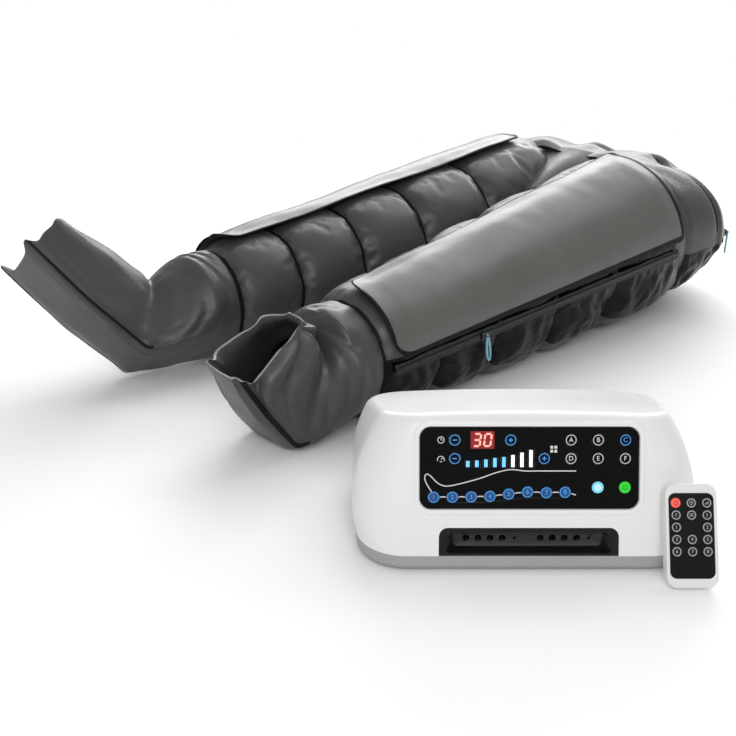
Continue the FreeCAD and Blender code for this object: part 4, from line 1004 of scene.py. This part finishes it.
def bezel():
    """Raised frame round the control panel."""
    bm = bmesh.new()
    top = plate(bm, 208, 85, 15, (0, 0), -1.6, 1.5)
    bmesh.ops.inset_region(bm, faces=top, thickness=5.0, use_even_offset=True)
    floor = [cell for cell in extrude(bm, top, -2.2) if abs(cell.normal.z) > 0.9]
    bmesh.ops.delete(bm, geom=[cell for cell in {*top, *floor} if cell.is_valid], context="FACES")
    edges = [edge for edge in bm.edges if not edge.is_boundary and edge.calc_face_angle(0) > 1]
    soften(bm, edges, 1.3, 4)
    shade_smooth(bm)
    return bm


class MASSAGER_OT_console(bpy.types.Operator):
    """Finishes the console's casing, socket and works"""
    bl_idname = "massager.console"
    bl_label = "Console"

    def execute(self, context):
        look = context.scene.massager_console
        # Injection-moulded ABS, polished tool: white with a soft gloss and a faint ripple
        white = finish("moulded_abs_white", look.casing, 0.97, 120, (0.26, 0.34), (2.2, 0.006))
        # Injection-moulded ABS with a fine spark texture: grey and duller than the casing
        grey = finish("moulded_abs_grey", look.tray, 0.9, 60, (0.42, 0.52), (1.2, 0.02))
        # Moulded rubber: dark, matt and a little dusty
        rubber = finish("moulded_rubber", "#3a3a3b", "#4a4a4a", 10, (0.75, 0.9), (1.5, 0.05))
        # Moulded ABS, black and lightly textured
        black = finish("moulded_abs_black", "#0e0e0f", "#161617", 20, (0.35, 0.45), (1.2, 0.02),
                       specular=0.25)
        # The same ABS with a coarser texture, in a lighter grey that is painted light on the socket's back
        # wall
        socket_wall_light = finish("socket_wall_painted_light", "#2c2c2d", "#363637", 20, (0.5, 0.6), (1.0, 0.04))
        # Cast aluminium, sand-blasted: pale grey metal with a fine grain
        metal = finish("cast_aluminium", "#b9bbbd", "#a2a4a6", 12, (0.4, 0.5), (1.0, 0.04), Metallic=1.0)
        # Moulded nylon, natural: milky and dull
        nylon = finish("moulded_nylon", "#d8d4c8", "#cbc6b8", 15, (0.45, 0.6), (1.2, 0.02))
        # Glass-epoxy board under solder lacquer: green with a soft gloss
        board = finish("lacquered_circuit_board", "#1f5b3a", "#174a2f", 6, (0.3, 0.45), (1.0, 0.02))
        coat("console_upper_shell", white)
        moulding("console_base_tray", (grey,))
        moulding("rubber_feet", (rubber,))
        socket = moulding("hose_socket_block", (black, socket_wall_light))
        # Faces of the back wall that look forward take the lighter grey as painted light
        for cell in socket.data.polygons:
            cell.material_index = 1 if cell.normal.y < -0.8 and cell.center.y > -0.492 else 0
        moulding("mains_inlet", (black,))
        coat("air_pump", metal)
        coat("valve_manifold", nylon)
        coat("power_supply", board)
        coat("control_board", board)
        piece("panel_bezel", bezel(), "set", (white,), PANEL)
        return {"FINISHED"}


# Levels of the rows of keys, up the panel
TIME_ROW, PRESSURE_ROW, START_ROW = 25.3, 8.6, -17.6
# Points of the printed leg's upper line, across and up the panel
LEG_LINE = ((-87.8, -21.6), (-90.9, -16.7), (-93.7, -11), (-93.7, -7), (-91.4, -5.5), (-88, -8),
            (-83.4, -12.8), (-78.8, -15.5), (-73.1, -16.4), (-62, -14.2), (-52, -11.6), (-42, -8.6),
            (-31, -4.6), (-20, -1.8), (-13, -1.6), (-4, -2.7), (8, -2.7), (24, -2.7), (42, -2.7))
CHAMBER_KEYS = [(-86 + 16.9 * step, -26.4 + 4.7 * share)
                for step, share in enumerate((0, 0, 0.05, 0.15, 0.6, 1, 0.85, 0.95))]
BAR_HEIGHTS = [5.9 + 9.9 * share for share in (0, 0.05, 0.14, 0.27, 0.36, 0.55, 0.77, 1)]
# Ends of the lit bars of a seven-part figure: across in half widths and up in quarter heights
FIGURE_PARTS = {"top": ((-1, 2), (1, 2)), "middle": ((-1, 0), (1, 0)), "bottom": ((-1, -2), (1, -2)),
                "upper_left": ((-1, 0), (-1, 2)), "upper_right": ((1, 0), (1, 2)),
                "lower_left": ((-1, -2), (-1, 0)), "lower_right": ((1, -2), (1, 0))}
FIGURES = ((-47.0, ("top", "middle", "bottom", "upper_right", "lower_right")),
           (-37.4, ("top", "bottom", "upper_left", "lower_left", "upper_right", "lower_right")))


def panel_print():
    """Printed lines and signs of the panel, round its keys."""
    bm = bmesh.new()

    def line(points, width):
        stroke(bm, points, width, *PANEL_PRINT)

    leg = [Vector(point) for point in LEG_LINE]
    line([through(leg, step / 4) for step in range(4 * (len(leg) - 1) + 1)], 1.0)
    keys = [Vector(spot) for spot in CHAMBER_KEYS]
    for before, after in zip(keys, keys[1:]):
        along = (after - before).normalized() * 5.6
        line([before + along, (before + after) / 2 + Vector((0, 0.3)), after - along], 1.0)
    line([keys[-1] + Vector((5.6, -1.2)), (42, -24.4)], 1.0)
    clock_sign(bm, (-79.5, TIME_ROW), (2.5, 3.2), (2.0, 1.5), 0.6, PANEL_PRINT)
    # Gauge sign for the pressure keys
    line(arc((-79.5, 7.4), 3.2, -20, 22), 0.7)
    line([(-79.5, 7.4), (-77.8, 9.4)], 0.6)
    line([(-80.6, 5.6), (-78.4, 5.6)], 0.6)
    # Four squares for the modes
    for across in (20.0, 23.6):
        for up in (15.2, 18.8):
            plate(bm, 2.5, 2.5, 0, (across, up), *PANEL_PRINT)
    return bm


def pressure_bars():
    """Eight rising bars, the last three in a second material."""
    bm = bmesh.new()
    for step, tall in enumerate(BAR_HEIGHTS):
        before = set(bm.faces)
        plate(bm, 3.2, tall - 0.4, 0.4, (-55.3 + 8.1 * step, 0.6 + tall / 2), *PANEL_LIGHT, 0.12)
        for cell in set(bm.faces) - before:
            cell.material_index = 0 if step < 5 else 1
    return bm


def timer_figures():
    """Two lit figures that lean a little."""
    bm = bmesh.new()
    for across, parts in FIGURES:
        for part in parts:
            ends = [Vector((across + x * 2.9 + 0.35 * y, TIME_ROW + y * 2.75)) for x, y in FIGURE_PARTS[part]]
            along = (ends[1] - ends[0]).normalized() * 0.7
            stroke(bm, [ends[0] + along, ends[1] - along], 1.75, *PANEL_LIGHT)
    return bm


def key_sign(bm, kind, spot):
    """Adds the print of a key of the console: a ring round a sign or a letter, or a sign alone."""
    x, y = spot
    if kind == "power":
        power_sign(bm, spot, 2.1, 2.7, 0.7, KEY_PRINT)
        return
    if kind == "start":
        ring(bm, 1.9, 2.6, spot, *KEY_PRINT)
        for across in (x - 0.5, x + 0.6):
            stroke(bm, [(across, y - 1), (across, y + 1)], 0.5, *KEY_PRINT)
        return
    ring(bm, 4.1, 4.8, spot, *KEY_PRINT)
    if len(kind) == 1:
        sign(bm, kind, 4.3, spot, *KEY_PRINT)
        return
    stroke(bm, [(x - 2, y), (x + 2, y)], 0.9, *KEY_PRINT)
    if kind == "plus":
        # A little higher than the stroke that it crosses
        stroke(bm, [(x, y - 2), (x, y + 2)], 0.9, KEY_PRINT[0], KEY_PRINT[1] + 0.01)


class MASSAGER_OT_panel(bpy.types.Operator):
    """Prints and lights the control panel and its keys"""
    bl_idname = "massager.panel"
    bl_label = "Control panel"

    def execute(self, context):
        look = context.scene.massager_console
        # Acrylic panel, printed black from behind: deep gloss
        acrylic = finish("printed_acrylic", look.panel, "#0b0b0d", 40, (0.12, 0.18), (8, 0.004),
                         specular=0.14)
        # Screen print: even ink with a dull face, given a faint glow that is painted light
        ink = finish("white_print_painted_glow", look.print_white, "#c9c9c6", 5, (0.5, 0.6), (1, 0.01),
                     **{"Emission Color": (*look.print_white, 1), "Emission Strength": 0.12})
        blue = lit("blue_lit_lens", look.light_blue, "#2f86d6", 0.4)
        bars = lit("pale_blue_lit_bar", "#63b9f7", "#7cc8fb", 0.55)
        deep = lit("deep_blue_lit_key", "#123e70", "#184c86", 0.12)
        sky = lit("sky_lit_key", "#6fcbee", "#86d6f4", 0.3)
        red = lit("red_lit_figure", look.red, "#ffb0a4", 1.0)
        glow = lit("red_glass", "#7e0202", "#5c0202", 0.6)
        white = lit("white_lit_lens", "#f2f4f6", "#dfe3e8", 0.5)
        green = lit("green_lit_key", look.green, "#2bd02b", 0.3)
        leaf = lit("dark_green_print", "#0d7a12", "#0f8a15", 0.2)
        moulding("panel_overlay", (acrylic,))
        coat("display_module", acrylic)
        piece("panel_print", panel_print(), "set", (ink,), PANEL)
        piece("pressure_bars", pressure_bars(), "set", (bars, white), PANEL)
        bm = bmesh.new()
        plate(bm, 21.4, 15.9, 1.0, (-42.2, TIME_ROW), -0.62, -0.44, 0.08)
        piece("timer_glass", bm, "set", (glow,), PANEL)
        piece("timer_figures", timer_figures(), "set", (red,), PANEL)
        marks = [("key_time_minus", (-67.1, TIME_ROW), "minus", blue, acrylic),
                 ("key_time_plus", (-16.9, TIME_ROW), "plus", blue, acrylic),
                 ("key_pressure_minus", (-67.1, PRESSURE_ROW), "minus", blue, acrylic),
                 ("key_pressure_plus", (13.3, PRESSURE_ROW), "plus", blue, acrylic),
                 ("key_start_pause", (61.7, START_ROW), "start", white, sky),
                 ("key_power", (86.1, START_ROW), "power", leaf, green)]
        for letters, up in (("ABC", TIME_ROW), ("DEF", PRESSURE_ROW)):
            for letter, across in zip(letters, (37.3, 61.7, 86.1)):
                print_ink = blue if letter == "C" else ink
                marks.append((f"key_mode_{letter.lower()}", (across, up), letter, print_ink, acrylic))
        for step, spot in enumerate(CHAMBER_KEYS):
            marks.append((f"key_chamber_{step + 1}", spot, str(step + 1), blue, deep))
        for node, spot, kind, print_ink, fill in marks:
            moulding(node, (fill,))
            bm = bmesh.new()
            key_sign(bm, kind, spot)
            piece(f"{node}_print", bm, node, (print_ink,), PANEL)
        return {"FINISHED"}


def remote_sign(bm, kind, spot):
    """Adds the print of a key of the remote: a ring round a sign or a digit, or the power sign alone."""
    x, y = spot
    if kind == "power":
        power_sign(bm, spot, 1.7, 2.3, 0.6, REMOTE_PRINT)
        return
    ring(bm, 3.1, 4.0, spot, *REMOTE_PRINT)
    if kind == "clock":
        clock_sign(bm, spot, (1.3, 1.7), (1.1, 0.9), 0.4, REMOTE_PRINT)
    elif kind == "bars":
        for step in range(3):
            across = x - 1.2 + 1.2 * step
            stroke(bm, [(across, y - 1.3), (across, y - 0.4 + 0.8 * step)], 0.7, *REMOTE_PRINT)
    elif kind in ("left", "right"):
        reach = 0.65 if kind == "right" else -0.65
        stroke(bm, [(x - reach, y + 1.4), (x + reach, y), (x - reach, y - 1.4)], 0.6, *REMOTE_PRINT)
    elif kind == "lines":
        for up in (-1, 0, 1):
            stroke(bm, [(x - 1.6, y + up), (x + 1.6, y + up)], 0.5, *REMOTE_PRINT)
    else:
        sign(bm, kind, 3.2, spot, *REMOTE_PRINT)


class MASSAGER_OT_remote(bpy.types.Operator):
    """Finishes the remote and prints its keys"""
    bl_idname = "massager.remote"
    bl_label = "Remote"

    def execute(self, context):
        look = context.scene.massager_remote
        # Injection-moulded ABS: pale, with a soft gloss
        shell = finish("remote_moulded_abs", look.shell, 0.96, 40, (0.3, 0.4), (1.5, 0.006))
        # Polyester overlay, printed black: an even satin face
        face = finish("printed_polyester", "#0b0b0c", "#121213", 20, (0.28, 0.36), (1.5, 0.008),
                      specular=0.15)
        # Embossed key domes of the same overlay
        dome = finish("embossed_polyester", "#131314", "#1c1c1d", 8, (0.32, 0.42), (1.2, 0.01), specular=0.2)
        # Screen print: even ink with a dull face
        ink = finish("grey_screen_print", look.ring, 0.85, 4, (0.5, 0.6), (1, 0.01))
        # Red power key of the remote: its colour with a faint glow, painted light
        red = lit("red_key_painted_glow", look.red, "#f0685e", 0.35)
        dark = finish("dark_red_print", "#8d1410", "#7a100d", 4, (0.5, 0.6), (1, 0.01))
        # Rolled stainless steel: a soft mirror with fine marks
        steel = finish("rolled_steel_cell", "#c3c5c7", "#adb0b3", 6, (0.22, 0.35), (1.2, 0.02), Metallic=1.0)
        board = bpy.data.materials["lacquered_circuit_board"]
        moulding("remote_front_shell", (shell,))
        moulding("remote_rear_shell", (shell,))
        moulding("remote_overlay", (face,))
        moulding("remote_battery_tray", (shell,))
        moulding("remote_coin_cell", (steel,))
        coat("remote_board", board)
        places = [(row, column) for row in range(1, 6) for column in range(1, 4) if (row, column) != (3, 2)]
        signs = ("power", "clock", "bars", "left", "lines", "right", *"12345678")
        for (row, column), kind in zip(places, signs):
            node = f"remote_key_{row}_{column}"
            spot = (13.7 * (column - 2), 53.5 + (3 - row) * 10.7)
            moulding(node, (red if kind == "power" else dome,))
            bm = bmesh.new()
            remote_sign(bm, kind, spot)
            piece(f"{node}_print", bm, node, (dark if kind == "power" else ink,), REMOTE)
        return {"FINISHED"}


def floor_paint(look):
    """Matt floor paint, which runs into a white backdrop away from the set."""
    made = finish("matt_floor_paint", look.floor, 0.995, 400, (0.85, 0.9), (3, 0.01))
    tree = made.node_tree
    paint = next(item for item in tree.nodes if item.type == "BSDF_PRINCIPLED")
    end = next(item for item in tree.nodes if item.type == "OUTPUT_MATERIAL")
    spot = add(tree, "ShaderNodeTexCoord").outputs["Object"]
    reach = add(tree, "ShaderNodeVectorMath", {0: spot}, operation="LENGTH").outputs["Value"]
    fade = add(tree, "ShaderNodeMapRange", {"Value": reach, "From Min": 0.5, "From Max": 1.35},
               interpolation_type="SMOOTHSTEP").outputs[0]
    path = add(tree, "ShaderNodeLightPath").outputs["Is Camera Ray"]
    gain = add(tree, "ShaderNodeMapRange", {"Value": path, "To Min": 1.0, "To Max": 1.18}).outputs[0]
    tint = paint.inputs["Base Color"].links[0].from_socket
    pale = add(tree, "ShaderNodeVectorMath", {0: tint, "Scale": gain}, operation="SCALE").outputs[0]
    tree.links.new(pale, paint.inputs["Base Color"])
    share = add(tree, "ShaderNodeMath", {0: fade, 1: path}, operation="MULTIPLY").outputs[0]
    white = add(tree, "ShaderNodeEmission", {"Color": (1, 1, 1, 1), "Strength": 1.0}).outputs[0]
    both = add(tree, "ShaderNodeMixShader", {0: share, 1: paint.outputs[0], 2: white})
    tree.links.new(both.outputs[0], end.inputs["Surface"])
    return made


def studio_world():
    """White surroundings, which look brighter than they light the set."""
    world = bpy.data.worlds.new("studio")
    world.use_nodes = True
    tree = world.node_tree
    tree.nodes.clear()
    path = add(tree, "ShaderNodeLightPath")
    rays = {0: path.outputs["Is Camera Ray"], 1: path.outputs["Is Transmission Ray"]}
    seen = add(tree, "ShaderNodeMath", rays, operation="MAXIMUM")
    strength = add(tree, "ShaderNodeMapRange", {"Value": seen.outputs[0], "To Min": 0.45, "To Max": 1.0})
    sky = add(tree, "ShaderNodeBackground", {"Color": (1, 1, 1, 1), "Strength": strength.outputs[0]})
    add(tree, "ShaderNodeOutputWorld", {"Surface": sky.outputs[0]})
    return world


class MASSAGER_OT_stage(bpy.types.Operator):
    """Sets the floor, the lamps and the camera"""
    bl_idname = "massager.stage"
    bl_label = "Stage"

    def execute(self, context):
        look = context.scene.massager_stage
        scene = context.scene
        scene.view_settings.view_transform = "Standard"
        bm = bmesh.new()
        bmesh.ops.create_grid(bm, x_segments=8, y_segments=8, size=look.span / 2)
        data = bpy.data.meshes.new("studio_floor")
        bm.to_mesh(data)
        bm.free()
        floor = bpy.data.objects.new("studio_floor", data)
        scene.collection.objects.link(floor)
        data.materials.append(floor_paint(look))
        scene.world = studio_world()
        for name, spot, target, size, watts in (
                ("overhead_strip", (0.45, 0.85, 1.75), (-0.05, 0.1, 0.1), (2.2, 0.8), 15),
                ("back_strip", (0.5, 2.5, 1.25), (0.0, 0.2, 0.1), (3.0, 0.9), 58),
                ("front_fill", (-0.1, -1.9, 1.15), (0.1, -0.45, 0.08), (1.3, 0.7), 13)):
            lamp = bpy.data.lights.new(name, "AREA")
            lamp.shape = "RECTANGLE"
            lamp.energy, (lamp.size, lamp.size_y) = watts, size
            holder = bpy.data.objects.new(name, lamp)
            aim = Vector(target) - Vector(spot)
            holder.matrix_world = Matrix.Translation(spot) @ aim.to_track_quat("-Z", "Y").to_matrix().to_4x4()
            scene.collection.objects.link(holder)
        lens = bpy.data.cameras.new("camera")
        lens.lens, lens.sensor_width, lens.clip_end = 53.8, 36, 100
        camera = bpy.data.objects.new("camera", lens)
        pitch = Matrix.Rotation(radians(67), 4, "X")
        camera.matrix_world = Matrix.Translation((-0.0566, -1.352, 0.563)) @ pitch
        scene.collection.objects.link(camera)
        scene.camera = camera
        return {"FINISHED"}


OPERATORS = (MASSAGER_OT_sleeves, MASSAGER_OT_hips, MASSAGER_OT_covers, MASSAGER_OT_zips,
             MASSAGER_OT_console, MASSAGER_OT_panel, MASSAGER_OT_remote, MASSAGER_OT_stage)
LOOKS = {"massager_trousers": TrousersLook, "massager_console": ConsoleLook, "massager_remote": RemoteLook,
         "massager_stage": StageLook}


class MASSAGER_PT_panel(bpy.types.Panel):
    """Lists the pieces of the set and their looks"""
    bl_idname = "MASSAGER_PT_panel"
    bl_label = "Leg massager set"
    bl_space_type = "VIEW_3D"
    bl_region_type = "UI"
    bl_category = "Massager"

    def draw(self, context):
        for name, look in LOOKS.items():
            column = self.layout.column(align=True)
            for entry in look.__annotations__:
                column.prop(getattr(context.scene, name), entry)
        for operator in OPERATORS:
            self.layout.operator(operator.bl_idname)


CLASSES = (*LOOKS.values(), *OPERATORS, MASSAGER_PT_panel)


def register():
    for item in CLASSES:
        bpy.utils.register_class(item)
    for name, look in LOOKS.items():
        setattr(bpy.types.Scene, name, PointerProperty(type=look))


def unregister():
    for name in LOOKS:
        delattr(bpy.types.Scene, name)
    for item in reversed(CLASSES):
        bpy.utils.unregister_class(item)


def main():
    register()
    kept = {*frame["nodes"].values(), *frame["bodies"].values()}
    for item in [item for item in bpy.data.objects if item not in kept]:
        bpy.data.objects.remove(item)
    bpy.ops.massager.sleeves()
    bpy.ops.massager.hips()
    bpy.ops.massager.covers()
    bpy.ops.massager.zips()
    bpy.ops.massager.console()
    bpy.ops.massager.panel()
    bpy.ops.massager.remote()
    bpy.ops.massager.stage()


if __name__ == "__main__":
    main()
